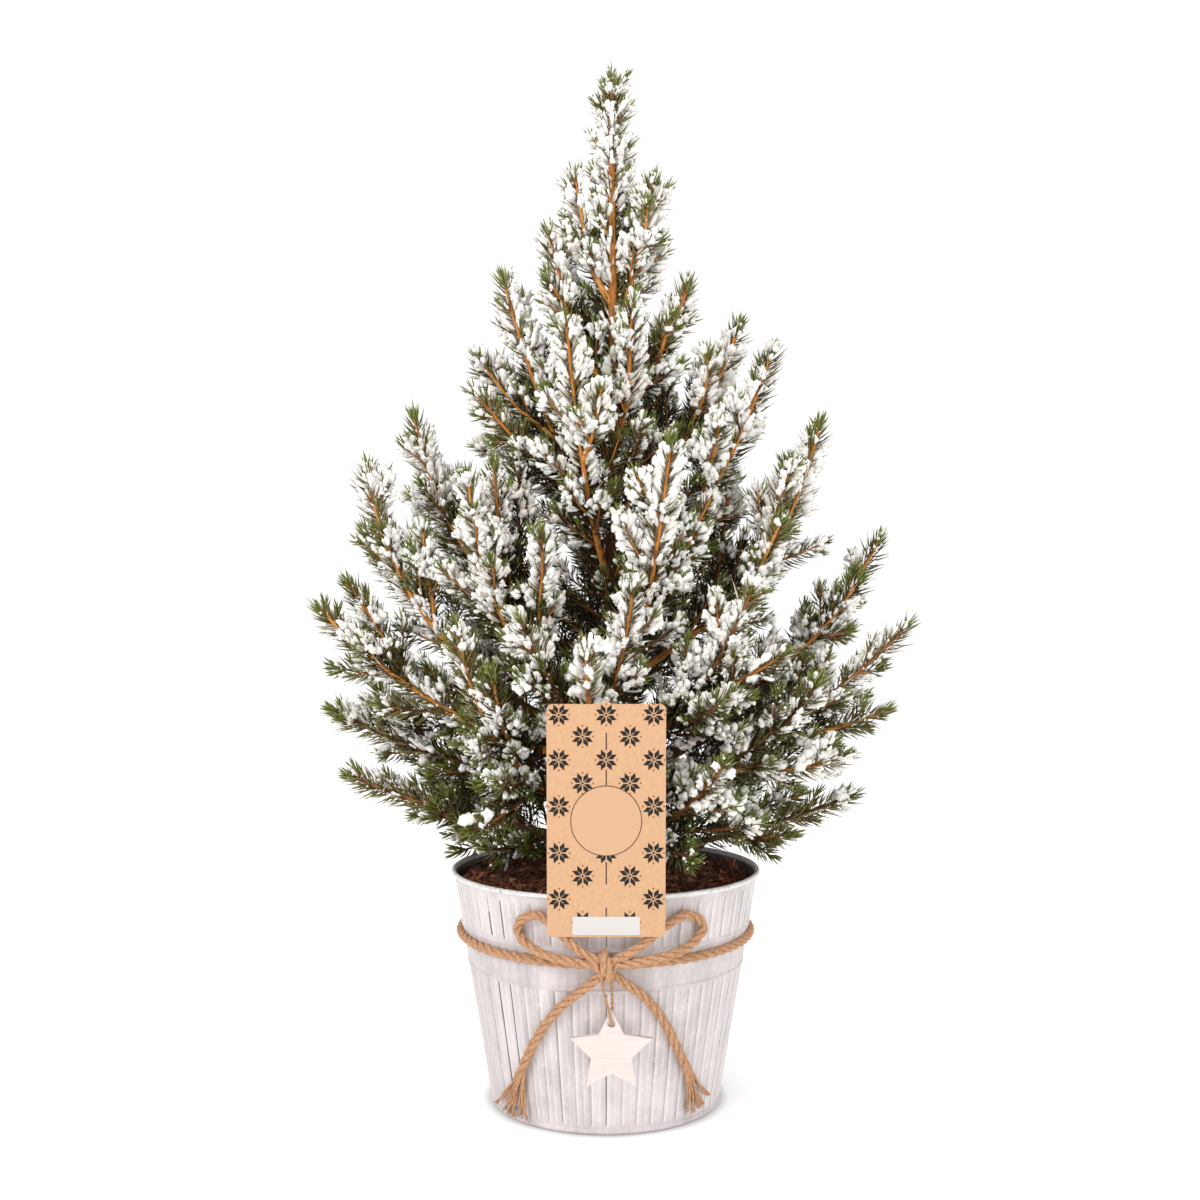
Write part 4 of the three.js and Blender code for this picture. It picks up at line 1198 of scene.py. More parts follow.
def needle_rows(shoots, thicket, settings, chance):
    """Roots, directions, bends, lengths and facts of every needle, as columns of arrays.

    Needles part round a shoot's bare side, so that its stem shows there. Some cross over it all the
    same, and some stay free of flock.
    """
    columns = {}
    dense = settings.needles_per_mm
    full = settings.needle_length / MM
    middles = np.stack([shoot.at(np.array([shoot.length * 0.65]))[0] for shoot in shoots])
    open_shares = thicket.seen(middles)
    for number, (shoot, seen) in enumerate(zip(shoots, open_shares)):
        start = shoot.leafy * shoot.length
        span = shoot.length - start
        rate = dense * (0.5 + 0.5 * seen) * NEEDLE_CROWDING[shoot.rank]
        count = max(5, int(span * rate))
        runs = start + span * ((np.arange(count) + chance.uniform(0, 0.9, count)) / count) ** 0.8
        along = shoot.frames(runs)[0]
        turns = np.arange(count) * GOLDEN_ANGLE + chance.normal(0, 0.25, count)
        left = shoot.length - runs
        lean = np.radians(np.clip(22 + left * 3.2, 22, 60) + chance.normal(0, 6, count))
        facing = unit(shoot.bare - along * (along @ shoot.bare)[:, None])
        turns = (turns + math.pi) % (2 * math.pi) - math.pi
        bare = BARE_ANGLES[shoot.rank] * risen(left, 2, 10)
        root = shoot.at(runs)
        crossing = 0.1 + 0.42 * risen(root[:, 2], 280, 190) + 0.4 * risen(root[:, 2], 400, 460)
        bare = np.where(chance.uniform(size=count) < crossing, 0.0, bare)
        free = chance.uniform(size=count) < 0.17
        spread = bare + (math.pi - bare) * (np.abs(turns) / math.pi) ** (1.3 if shoot.rank < 2 else 1.0)
        spread = np.where(free, spread * 0.72, spread)
        sideways = (np.sin(spread) * np.sign(turns))[:, None]
        spoke = facing * np.cos(spread)[:, None] + np.cross(along, facing) * sideways
        way = along * np.cos(lean)[:, None] + spoke * np.sin(lean)[:, None]
        size = full * NEEDLE_SIZES[shoot.rank] * (0.6 + 0.4 * risen(left, 0, 12))
        size = size * np.where(free, 1.16, 1.0) * chance.uniform(0.82, 1.2, count)
        keep = in_room(root + way * size[:, None], NEEDLE_ROOM)
        bend = 0.24 * along - 0.06 * spoke + 0.06 * UPRIGHT + chance.normal(0, 0.045, (count, 3))
        facts = {
            "root": root, "way": way, "along": along, "bend": bend, "length": size,
            "tip": left, "share": runs / shoot.length, "free": free,
            "snow": np.full(count, shoot.snow), "shoot": np.full(count, number),
            "rank": np.full(count, shoot.rank),
        }
        for key, values in facts.items():
            columns.setdefault(key, []).append(values[keep])
    rows = {key: np.concatenate(values) for key, values in columns.items()}
    rows["seen"] = thicket.seen(rows["root"] + rows["way"] * rows["length"][:, None] * 0.5)
    rows["sky"] = thicket.sky(rows["root"])
    return rows


def snow_on(rows):
    """How thick the flock is on each needle, and none at 0 or less: it lies in clumps, out and up."""
    middle = rows["root"] + rows["way"] * rows["length"][:, None] * 0.6
    clump = lattice_noise(middle, 13.0, 21) * 0.55 + lattice_noise(middle, 6.0, 22) * 0.45
    upward = rows["way"][:, 2] * 0.5 + 0.5
    height = np.clip((middle[:, 2] - 118) / 130, 0.15, 1) ** 0.5 * (1 + 0.2 * risen(middle[:, 2], 300, 400))
    leading = rows["rank"] < 2
    leader_tips = np.clip((rows["tip"] - 7) / 12, 0.2, 1)
    tips = np.where(leading, leader_tips, np.clip((rows["tip"] - 1) / 4, 0.35, 1))
    foot = np.where(leading, np.clip((rows["share"] - 0.05) / 0.35, 0.3, 1), 1.0)
    open_share = np.clip((rows["seen"] - 0.42) / 0.34, 0, 1)
    want = (0.2 + 0.8 * rows["snow"]) * open_share * (0.7 + 0.3 * rows["sky"]) * (0.5 + 0.8 * upward)
    thick = want * height * tips * foot + 2.0 * (clump - 0.5) - 0.31
    return np.where(rows["free"], np.minimum(thick, -0.04), thick)


def split_pieces(name, places, triangles, shades, materials, limit=190000):
    """Joined meshes of under the limit each, from many like items with a shade each.

    They are cut between items and never through one.
    """
    total = len(shades)
    faces, corners = len(triangles) // total, len(places) // total
    parts = math.ceil(total / (limit // faces))
    for part in range(parts):
        first, last = total * part // parts, total * (part + 1) // parts
        piece = triangle_mesh(
            f"{name}_{part + 1}", places[first * corners:last * corners],
            triangles[first * faces:last * faces] - first * corners,
            materials, np.repeat(shades[first:last], faces),
        )
        finished(piece, *MASS_NODES, slot="foliage")


def beads(centre, tilt, radius, shares, widths, rough=None):
    """Places and triangles of small beads, each with its poles along its tilt."""
    return spindles(
        centre - tilt * radius[:, None], tilt, np.zeros((len(centre), 3)), 2 * radius, radius,
        shares, widths, BEAD_SIDES, rough=rough,
    )


# The needles' greens: 0 and 3 are darker, as painted shade deep in the crown, 1, 2 and 4 lie on its
# outside, 5 and 6 are fresh tips, and 7 to 9 are frosted
NEEDLE_GREENS = (
    (40, 38, 15), (82, 78, 38), (104, 98, 54), (60, 56, 24), (126, 118, 72), (102, 112, 48), (128, 135, 66),
    (156, 151, 122), (196, 192, 171), (228, 224, 211),
)
# The stems' browns from light to dark: darker ones go on stems low down, and as painted shade on stems deep
# in the crown; 4 is only on the finest twigs
BARK_BROWNS = ((222, 150, 72), (200, 130, 60), (150, 97, 50), (88, 56, 30), (96, 80, 42))
# Whites of the flock: 1 and 2 are warmer and darker, dealt in random clouds and as painted shade deeper in
# the crown
FLOCK_WHITES = ((251, 249, 244), (247, 242, 235), (237, 230, 220))
BEAD_SIDES = 5

# Coats of flock: name, rings' shares and widths, ends, sides, thinnest and how much wider
FLOCK_COATS = (
    ("flock_coat", (0.42, 0.72, 0.98), (0.62, 1.0, 0.95), (0.16, 1.02), 5, 0.45, 0.5),
    ("flock_puff", (0.6, 0.94), (0.85, 1.05), (0.36, 1.04), 5, 0.52, 0.52),
    ("flock_rime", (0.62,), (1.0,), (0.16, 1.02), 4, 0.36, 0.0),
)

# Lumps and crumbs: how often, on how thick a coat, how far out, sizes, rings' shares and widths
FLOCK_LUMPS = (
    ("lumps", 0.3, 0.4, (0.62, 0.98), (0.9, 2.0), (0.24, 0.76), (0.92, 0.92)),
    ("crumbs", 0.9, 0.1, (0.72, 1.14), (0.6, 1.2), (0.5,), (1.0,)),
)


def grained_flock(index, colour):
    """One plain white of the flock, with its crumbs."""
    made = Finish(f"flock_{index}", srgb(*colour), 0.9, specular=0.1)
    return made.relief(made.noise((1000, 1000, 1000), 3, 0.6), 0.0007, 0.8)


class GrowFoliage(bpy.types.Operator):
    """Grows the twigs, the needles and the flock on them"""

    bl_idname = "spruce.grow_foliage"
    bl_label = "Grow the foliage"

    def execute(self, context):
        settings = context.scene.spruce_crown
        leaders, sides, twigs = grow_crown(settings)
        chance = np.random.default_rng(settings.seed + 1)
        shoots = leaders + sides + twigs
        thicket = Thicket(shoots)
        self.stems(shoots, thicket, chance)
        rows = needle_rows(shoots, thicket, settings, chance)
        snow = snow_on(rows)
        self.needles(rows, snow, settings, chance)
        self.flock(rows, snow, settings, chance)
        return {"FINISHED"}

    def stems(self, shoots, thicket, chance):
        """Twigs in their bark, each kept to a few sides, darker low down and in darker browns as painted
        shade deep in the crown.
        """
        parts = []
        seen = thicket.seen(np.stack([shoot.points[len(shoot.points) // 2] for shoot in shoots]))
        for shoot, inner in zip(shoots, 1 - seen):
            sides = STEM_SIDES[shoot.rank]
            points, radii = shoot.points, shoot.radii
            if shoot.rank > 1:
                pick = np.linspace(0, len(points) - 1, 4 if shoot.rank == 2 else 3).astype(int)
                points, radii = points[pick], radii[pick]
            relief = 1 + chance.uniform(-0.1, 0.14, (len(points), sides))
            places, triangles = tube_mesh(points, radii, sides, relief)
            # Stems are darker low down, and painted shade makes those deep in the crown darker still
            low = np.clip((240 - points[:, 2].mean()) / 60, 0, 1.5)
            shade = int(np.clip(inner * 2.1 + low + chance.uniform(-0.5, 0.6), 0, 3))
            if shoot.rank > 1:
                shade = min(shade + 1, 3) + (shoot.rank == 3)
            parts.append((places, triangles, shade))
        places, triangles, shades = gathered(parts)
        fleck = lattice_noise(places[triangles[:, 0]], 1.6, 51) > 0.66
        shades = np.where(fleck & (shades < 3), shades + 1, shades)
        browns = plain_shades("twig_bark", BARK_BROWNS, 0.7, 0.3)
        finished(triangle_mesh("twigs", places, triangles, browns, shades), *MASS_NODES, slot="bark")

    def needles(self, rows, snow, settings, chance):
        """Green needles, dealt a plain colour by spray, with darker greens as painted shade deep in the
        crown.
        """
        count = len(snow)
        seen = rows["seen"]
        dealt = np.random.default_rng(settings.seed + 2).uniform(size=int(rows["shoot"].max()) + 1)
        spray = dealt[rows["shoot"]]
        shade = np.where(spray < 0.4, 1, np.where(spray < 0.75, 2, 4))
        # Painted shade: the less open a needle's place, the darker its green
        shade = np.where(seen < 0.66, np.where(spray < 0.5, 3, 1), shade)
        shade = np.where(seen < 0.45, np.where(spray < 0.7, 0, 3), shade)
        luck = chance.uniform(size=count)
        frosted = (luck < 0.16 + 0.8 * snow) & (rows["snow"] > 0.3)
        frosted &= (seen > 0.5) & (rows["root"][:, 2] > 150)
        frost = np.where(luck * 7 % 1 < 0.4, 7, np.where(luck * 13 % 1 < 0.5, 8, 9))
        shade = np.where(frosted, frost, shade)
        fresh = (rows["tip"] < 5.5) & (luck > 0.12) & (seen > 0.4)
        shade = np.where(fresh, np.where(luck * 5 % 1 < 0.65, 5, 6), shade)
        radius = np.full(count, settings.needle_radius / MM) * chance.uniform(0.85, 1.2, count)
        near = (seen > 0.82) & (snow < 0) & (rows["tip"] < 5)
        hidden = (snow > 0.22) & (luck * 3 % 1 < 0.5)
        materials = plain_shades("needle", NEEDLE_GREENS, 0.55, 0.25)
        for name, chosen, shares, widths in (
            ("needles_outer", near, (0.12, 0.68), (0.8, 1.0)),
            ("needles_inner", ~near & ~hidden, (0.45,), (1.15,)),
        ):
            places, triangles = spindles(
                rows["root"][chosen], rows["way"][chosen], rows["bend"][chosen], rows["length"][chosen],
                radius[chosen], shares, widths, 3,
            )
            split_pieces(name, places, triangles, shade[chosen], materials)

    def flock(self, rows, snow, settings, chance):
        """White coats on the needles, blunt and run together in clumps and thin beside them, in darker
        whites as painted shade deeper in the crown.
        """
        whites = [grained_flock(index, colour) for index, colour in enumerate(FLOCK_WHITES)]
        luck = chance.uniform(size=len(snow))
        choices = (
            (snow > 0.04) & (luck < 0.27),
            (snow > 0.02) & (luck > 0.27) & (luck < 0.68),
            (snow > -0.03) & (luck > 0.82),
        )
        for chosen, (name, shares, widths, ends, sides, thin, wide) in zip(choices, FLOCK_COATS):
            chosen = chosen & (rows["tip"] > 1.5)
            root, bend = rows["root"][chosen], rows["bend"][chosen]
            way = unit(rows["way"][chosen] + chance.normal(0, 0.1, (len(root), 3)) * (wide > 0))
            thick = np.clip(snow[chosen] / 0.45, 0, 1)
            length = np.minimum(rows["length"][chosen] * chance.uniform(0.66, 1.02, len(root)), 9.8)
            radius = settings.flock_radius / MM * (thin + wide * thick)
            radius = radius * chance.uniform(0.7, 1.26, len(root))
            rough = chance.uniform(0.54, 1.46, (len(root), len(shares), sides))
            places, triangles = spindles(
                root, way, bend, length, radius, shares, widths, sides, ends=ends, flat=1.25, rough=rough,
                helper=rows["along"][chosen],
            )
            tone = lattice_noise(root, 6.0, 23) + chance.normal(0, 0.1, len(root))
            # Painted shade: the less open a coat's place, the warmer and darker its white
            tone = tone + 0.5 * (rows["seen"][chosen] - 0.75)
            shades = np.where(tone > 0.42, 0, np.where(tone > 0.27, 1, 2))
            split_pieces(name, places, triangles, shades, whites)
            if wide:
                self.lumps(name, root, way, length, whites, thick, chance)
        self.specks(rows, snow, whites, chance)

    def specks(self, rows, snow, whites, chance):
        """Small beads of flock on bare needles and along the stems."""
        often = 0.04 + 0.14 * rows["snow"]
        chosen = (snow < -0.05) & (rows["seen"] > 0.22) & (chance.uniform(size=len(snow)) < often)
        count = int(chosen.sum())
        out = np.where(chance.uniform(size=count) < 0.2, 0.08, chance.uniform(0.3, 1.0, count))
        centre = rows["root"][chosen] + rows["way"][chosen] * (rows["length"][chosen] * out)[:, None]
        tilt = unit(chance.normal(size=(count, 3)))
        radius = chance.uniform(0.4, 1.0, count)
        places, triangles = beads(centre, tilt, radius, (0.5,), (1.0,))
        split_pieces("flock_specks", places, triangles, np.zeros(count, dtype=int), whites)

    def lumps(self, coat, root, way, length, whites, thick, chance):
        """Rounder lumps of flock where coats have run together, and crumbs along their outer edge."""
        for name, often, least, reach, sizes, shares, widths in FLOCK_LUMPS:
            middle = root + way * length[:, None] * chance.uniform(*reach, len(root))[:, None]
            chosen = (thick + 0.3 * way[:, 2] > least) & (chance.uniform(size=len(root)) < often)
            count = int(chosen.sum())
            centre = middle[chosen] + chance.normal(0, 0.45, (count, 3))
            tilt = unit(chance.normal(size=(count, 3)))
            cushion = risen(centre[:, 2], 250, 190) * (way[chosen][:, 2] > 0.1)
            radius = chance.uniform(*sizes, count) * (1 + 0.6 * cushion * (name == "lumps"))
            rough = chance.uniform(0.62, 1.38, (count, len(shares), BEAD_SIDES))
            places, triangles = beads(centre, tilt, radius, shares, widths, rough)
            shades = (chance.uniform(size=count) < 0.25).astype(int)
            split_pieces(f"{coat}_{name}", places, triangles, shades, whites)


class GrowTrunk(bpy.types.Operator):
    """Grows the trunk and the bare lower parts of the boughs, with the bark's relief"""

    bl_idname = "spruce.grow_trunk"
    bl_label = "Grow the trunk and boughs"

    def execute(self, context):
        settings = context.scene.spruce_crown
        chance = np.random.default_rng(settings.seed + 3)
        parts = [(*self.trunk(settings.trunk_radius / MM), 0)]
        for _, foot, side, reach, height, sweep, bare, _, _ in LIMBS:
            if not bare:
                continue
            line = bent_line(*limb_course(foot, side, reach, height, sweep), spacing=1.6)
            line = line[:int(len(line) * bare)]
            taper = np.linspace(2.5 + 0.008 * reach, 1.9 + 0.006 * reach, len(line))
            swell = 1 + 0.6 * np.exp(-np.arange(len(line)) / 3.0)
            rough = 1 + chance.uniform(-0.07, 0.1, (len(line), 12))
            parts.append((*tube_mesh(line, taper * swell, 12, rough), 0))
        places, triangles, shades = gathered(parts)
        piece = triangle_mesh("trunk_and_boughs", places, triangles, [bark_old()], shades)
        finished(piece, *WOOD_NODES, slot="bark")
        return {"FINISHED"}

    def trunk(self, thick, sides=28):
        """The trunk's tube, with lobes at its foot and ridges of bark that run up it."""
        heights = np.concatenate([np.linspace(TRUNK_FOOT, 130, 22), np.linspace(132, TRUNK_END, 150)])
        points = trunk_centre(heights)
        rise = (heights - TRUNK_FOOT) / (TRUNK_END - TRUNK_FOOT)
        radii = thick + (TRUNK_END_RADIUS - thick) * rise**0.9
        turns = round_turns(sides)
        flare = ROOT_FLARE * np.exp(-(heights - TRUNK_FOOT) / 6.0)
        lobes = 1 + 0.35 * np.sin(turns * 5 + 0.7) + 0.2 * np.sin(turns * 3 + 2.0)
        ring = radii[:, None] + flare[:, None] * lobes[None, :]
        around = [(wave(turns)[None, :] * radii[:, None]).ravel() * 1.7 for wave in (np.cos, np.sin)]
        grid = np.stack([np.repeat(heights[:, None], sides, 1).ravel() * 0.32, *around], axis=-1)
        bark = lattice_noise(grid, 1.3, 41) * 0.6 + lattice_noise(grid * 2.1, 1.3, 42) * 0.4
        ring = ring * (0.9 + 0.22 * bark.reshape(len(heights), sides))
        return tube_mesh(points, np.ones(len(points)), sides, ring)


# Rope, star and card


def wall_place(settings, across, height, off):
    """A place in metres at a distance from the pot's wall, from millimetres across and up."""
    radius = wall_radius(settings, height * MM) + off * MM
    return Vector((across * MM, -math.sqrt(radius * radius - (across * MM) ** 2), height * MM))


def smooth_line(places, steps=14):
    """A line of points through the places, bent evenly from one to the next."""
    places = [np.array(place, dtype=float) for place in places]
    padded = [2 * places[0] - places[1], *places, 2 * places[-1] - places[-2]]
    line = []
    for index in range(1, len(padded) - 2):
        before, start, end, after = padded[index - 1:index + 3]
        for step in range(steps):
            t = step / steps
            line.append(
                0.5 * (
                    2 * start + (end - before) * t + (2 * before - 5 * start + 4 * end - after) * t * t
                    + (3 * start - before - 3 * end + after) * t**3
                )
            )
    line.append(padded[-2])
    return line


def rope_tree(settings, material, strands=3):
    """Lays strands round a line, as in a rope."""
    tree = Tree(
        "laid_rope", Rope_radius=float(settings.rope_radius), Lay=float(settings.rope_lay),
        Step=0.001, Swell=0.1,
    )
    line = tree.node("GeometryNodeMeshToCurve", Mesh=tree.input("Geometry"))
    even = tree.node(
        "GeometryNodeResampleCurve", {"mode": "LENGTH"}, Curve=line.outputs[0], Length=tree.input("Step")
    )
    run = tree.node("GeometryNodeSplineParameter").outputs["Length"]
    normal = tree.node("GeometryNodeInputNormal").outputs[0]
    tangent = tree.node("GeometryNodeInputTangent").outputs[0]
    second = tree.vector("CROSS_PRODUCT", tangent, normal)
    spread = tree.product(tree.input("Rope radius"), 0.53)
    width = tree.product(tree.input("Rope radius"), 0.5)
    ring = tree.node("GeometryNodeCurvePrimitiveCircle", Resolution=8, Radius=1.0)
    parts = []
    for strand in range(strands):
        turn = tree.product(tree.math("DIVIDE", run, tree.input("Lay")), 2 * math.pi)
        turn = tree.math("ADD", turn, strand * 2 * math.pi / strands)
        first = tree.scaled(normal, tree.product(tree.math("COSINE", turn), spread))
        other = tree.scaled(second, tree.product(tree.math("SINE", turn), spread))
        shifted = tree.node(
            "GeometryNodeSetPosition", Geometry=even.outputs[0], Offset=tree.vector("ADD", first, other)
        )
        apart = tree.math("ADD", run, strand * 3.7)
        uneven = tree.node("ShaderNodeTexNoise", {"noise_dimensions": "1D"}, W=apart, Scale=260.0)
        more = tree.math("SUBTRACT", uneven.outputs[0], 0.5)
        swell = tree.math("MULTIPLY_ADD", more, tree.input("Swell"), 1.0)
        tube = tree.node(
            "GeometryNodeCurveToMesh", Curve=shifted.outputs[0], Profile_Curve=ring.outputs[0],
            Scale=tree.product(width, swell), Fill_Caps=True,
        )
        parts.append(tube.outputs[0])
    return tree.end(tree.joined(*parts), material)


def rope_along(name, tree, line, **values):
    """A rope along a line of places in metres."""
    edges = [(index, index + 1) for index in range(len(line) - 1)]
    return tree.run(name, base_object(name + "_line", line, edges=edges), **values)


def joined_pieces(name, pieces):
    """Several plain mesh objects as one."""
    with bpy.context.temp_override(active_object=pieces[0], selected_editable_objects=pieces):
        bpy.ops.object.join()
    pieces[0].name = name
    pieces[0].data.name = name
    return pieces[0]


# The rope's routes on the wall: how far across, how high and how far off it, in millimetres
LEFT_LOOP = (
    (0, 84.6, 7), (-12, 86, 8.2), (-24, 88, 8), (-32.5, 90.2, 6.4), (-38.6, 93.8, 3.6), (-40.8, 98, 2.9),
    (-39.2, 103, 2.9), (-33.4, 106, 2.9), (-29.5, 105.6, 3.2), (-22.5, 101, 5.7), (-16.5, 95.4, 6.9),
    (-11.5, 91, 7), (-5, 87.6, 7), (0, 85.6, 7),
)
RIGHT_LOOP = (
    (0, 84.6, 7), (16, 86.4, 8.2), (28.5, 88.4, 8), (37, 90.8, 6.4), (42.6, 94.2, 3.6), (45.2, 98, 2.9),
    (43.2, 102.6, 2.9), (38, 105.4, 2.9), (33.8, 105, 3.2), (26, 101, 5.2), (18.4, 95.4, 6.2),
    (11.5, 91, 7), (5, 87.6, 7), (0, 85.6, 7),
)
LEFT_TAIL = (
    (0, 83, 7), (-6.8, 76.2, 6.4), (-14, 69.6, 3.9), (-22.4, 61.4, 3), (-29.6, 51.2, 2.9), (-35, 41, 2.9),
    (-38.4, 32.4, 2.8), (-40, 27.6, 2.7),
)
RIGHT_TAIL = (
    (0, 83, 7), (8.4, 76.2, 6.4), (16.4, 69.6, 4), (22.8, 61.6, 3), (28.2, 52.4, 2.9), (33.2, 41.4, 2.9),
    (36.6, 33.4, 2.8), (38.4, 29, 2.7),
)

# Where the ends of the frayed yarns lie on the wall: across and up
LEFT_YARNS = ((-53.4, 5.4), (-48.9, 4.3), (-47.1, 2.9), (-44.6, 2.8), (-41.3, 3.9), (-37.6, 3.4))
RIGHT_YARNS = ((38.7, 7.4), (41.5, 6.5), (44.8, 7.2), (46.5, 8.4), (49.4, 11.8))

# Turns of the knot: half their depth and height, tilt, centre, and the rope's radius in metres
KNOT_WRAPS = (
    (4.8, 5.0, -0.2, (0.1, -77.7, 84.3), 0.0029),
    (3.6, 4.4, -0.62, (-2.9, -77.0, 82.9), 0.0022),
    (3.4, 4.0, 0.5, (3.1, -76.8, 84.2), 0.0019),
)


class TieRope(bpy.types.Operator):
    """Ties the rope round the pot in a bow, with frayed tails"""

    bl_idname = "spruce.tie_rope"
    bl_label = "Tie the rope"

    def execute(self, context):
        pot, trim = context.scene.spruce_pot, context.scene.spruce_trim
        fibre = jute(trim)
        radius = trim.rope_radius / MM
        ring = []
        for step in range(181):
            turn = -math.pi / 2 + 0.045 + step / 180 * (2 * math.pi - 0.09)
            height = 85.2 + 1.3 * math.sin(turn)
            reach = (wall_radius(pot, height * MM) / MM + radius - 0.9) * MM
            ring.append((reach * math.cos(turn), reach * math.sin(turn), height * MM))
        finished(rope_along("rope_round_pot", rope_tree(trim, fibre), ring), "rope_band", slot="rope")
        for side, route in (("left", LEFT_LOOP), ("right", RIGHT_LOOP)):
            line = smooth_line([wall_place(pot, *place) for place in route])
            loop = rope_along("bow_" + side, rope_tree(trim, fibre), line)
            finished(loop, "bow_loop_" + side, slot="rope")
        self.tails(pot, trim, fibre)
        self.knot(trim, fibre)
        return {"FINISHED"}

    def tails(self, pot, trim, fibre):
        """The bow's two tails, each with its yarns untwisted at the end."""
        chance = np.random.default_rng(5)
        for side, route, yarns in (("left", LEFT_TAIL, LEFT_YARNS), ("right", RIGHT_TAIL, RIGHT_YARNS)):
            line = smooth_line([wall_place(pot, *place) for place in route])
            parts = [rope_along("tail_" + side, rope_tree(trim, fibre), line)]
            above = wall_place(pot, *route[-2])
            last = wall_place(pot, *route[-1])
            for number, (across, height) in enumerate(yarns):
                spread = (number - (len(yarns) - 1) / 2) / len(yarns)
                start = above.lerp(last, 0.2) + Vector((spread * 1.6 * MM, -0.5 * MM, 0))
                end = wall_place(pot, across, height, 1.3 + chance.uniform(0, 1.6))
                hang = last.lerp(end, 0.5) + Vector((chance.uniform(-0.6, 0.6), -0.6, 0)) * MM
                yarn = smooth_line([start, last + Vector((spread * 3.4 * MM, -0.2 * MM, 0)), hang, end], 10)
                tree = rope_tree(trim, fibre, 2)
                name = f"yarn_{side}_{number}"
                parts.append(rope_along(name, tree, yarn, Rope_radius=0.00112, Lay=0.034, Step=0.0012))
            whole = joined_pieces("frayed_tail_" + side, parts)
            finished(whole, "rope_tail_" + side, slot="rope")

    def knot(self, trim, fibre):
        """Turns of rope over the crossing of the bow."""
        parts = []
        for index, (deep, high, tilt, centre, thick) in enumerate(KNOT_WRAPS):
            line = []
            for step in range(41):
                turn = step / 40 * 2 * math.pi * 0.97
                up, out = high * math.cos(turn), -deep * math.sin(turn)
                offset = (math.sin(tilt) * up, out, up * math.cos(tilt))
                line.append(tuple((part + shift) * MM for part, shift in zip(centre, offset)))
            tree = rope_tree(trim, fibre)
            parts.append(rope_along(f"wrap_{index}", tree, line, Rope_radius=thick, Lay=0.026))
        whole = joined_pieces("bow_knot", parts)
        finished(whole, "rope_knot", slot="rope")


def outline_curve(name, loops, depth, bevel):
    """A flat closed outline with thickness and a rounded edge, as a plain mesh, in metres."""
    curve = bpy.data.curves.new(name, "CURVE")
    curve.dimensions = "2D"
    curve.fill_mode = "BOTH"
    curve.extrude = depth / 2 - bevel
    curve.bevel_depth = bevel
    curve.bevel_resolution = 2
    curve.offset = -bevel
    for loop in loops:
        spline = curve.splines.new("POLY")
        spline.points.add(len(loop) - 1)
        for point, (across, up) in zip(spline.points, loop):
            point.co = (across, up, 0, 1)
        spline.use_cyclic_u = True
    holder = linked(name, curve)
    mesh = evaluated_mesh(holder)
    bpy.data.objects.remove(holder)
    return linked(name, mesh)


STAR_HOLE_AT = (0.0024, -0.0734, 0.0574)
STAR_HOLE_BELOW = 0.007
STAR_HOLE_RADIUS = 1.6 * MM
STAR_THICKNESS = 3.2 * MM
TWINE_ROUTE = (
    (-1.8, -77.6, 80), (-1.5, -77.4, 75), (-0.4, -76.9, 69.5), (1.2, -76.4, 64), (2, -76.1, 59.8),
    (2.4, -75.4, 57), (2.4, -73.4, 56.6), (2.5, -71.4, 57), (2.7, -70.7, 59.6), (2.8, -71.2, 65.2),
    (2.7, -73.8, 70.4), (2.4, -76.6, 75), (2.2, -77.4, 80),
)


class HangStar(bpy.types.Operator):
    """Hangs the wooden star on its twine"""

    bl_idname = "spruce.hang_star"
    bl_label = "Hang the star"

    def execute(self, context):
        trim = context.scene.spruce_trim
        reach, below = trim.star_radius, STAR_HOLE_BELOW
        points = []
        for index in range(10):
            radius = reach if index % 2 == 0 else reach * 0.493
            turn = math.pi / 2 + index * math.pi / 5
            points.append((radius * math.cos(turn), radius * math.sin(turn)))
        hole = [
            (STAR_HOLE_RADIUS * math.cos(-turn), reach - below + STAR_HOLE_RADIUS * math.sin(-turn))
            for turn in np.linspace(0, 2 * math.pi, 24, endpoint=False)
        ]
        star = outline_curve("wooden_star", [points, hole], STAR_THICKNESS, 0.45 * MM)
        star.data.materials.append(white_wood())
        place = Matrix.Translation(STAR_HOLE_AT) @ Matrix.Rotation(math.pi / 2, 4, "X")
        moved(star, place @ Matrix.Translation((0, below - reach, 0)))
        finished(star, "star", slot="star")
        line = smooth_line(np.array(TWINE_ROUTE) * MM, 8)
        twine = rope_along(
            "star_twine", rope_tree(trim, jute(trim), 2), line, Rope_radius=0.00072, Lay=0.005, Step=0.0006
        )
        finished(twine, "star_string", slot="rope")
        return {"FINISHED"}


# The card's width, height and thickness, and its corners and ring, in millimetres
CARD_SIZE = (53.4, 106.0, 0.8)
CARD_CORNER = 2.7
RING_HEIGHT = 53.2
RING_RADIUS = 15.9

# The printed rules' lower and upper ends
RULES = ((85.6, 93.1), (69.4, 76.4), (24.2, 34.4), (9.4, 13.6))

# Where the card stands behind the rope, and how far it leans back
CARD_LEAN = math.radians(4.5)
CARD_PLACE = Matrix.Translation((0, -0.0802, 0.0984)) @ Matrix.Rotation(math.pi / 2 + CARD_LEAN, 4, "X")


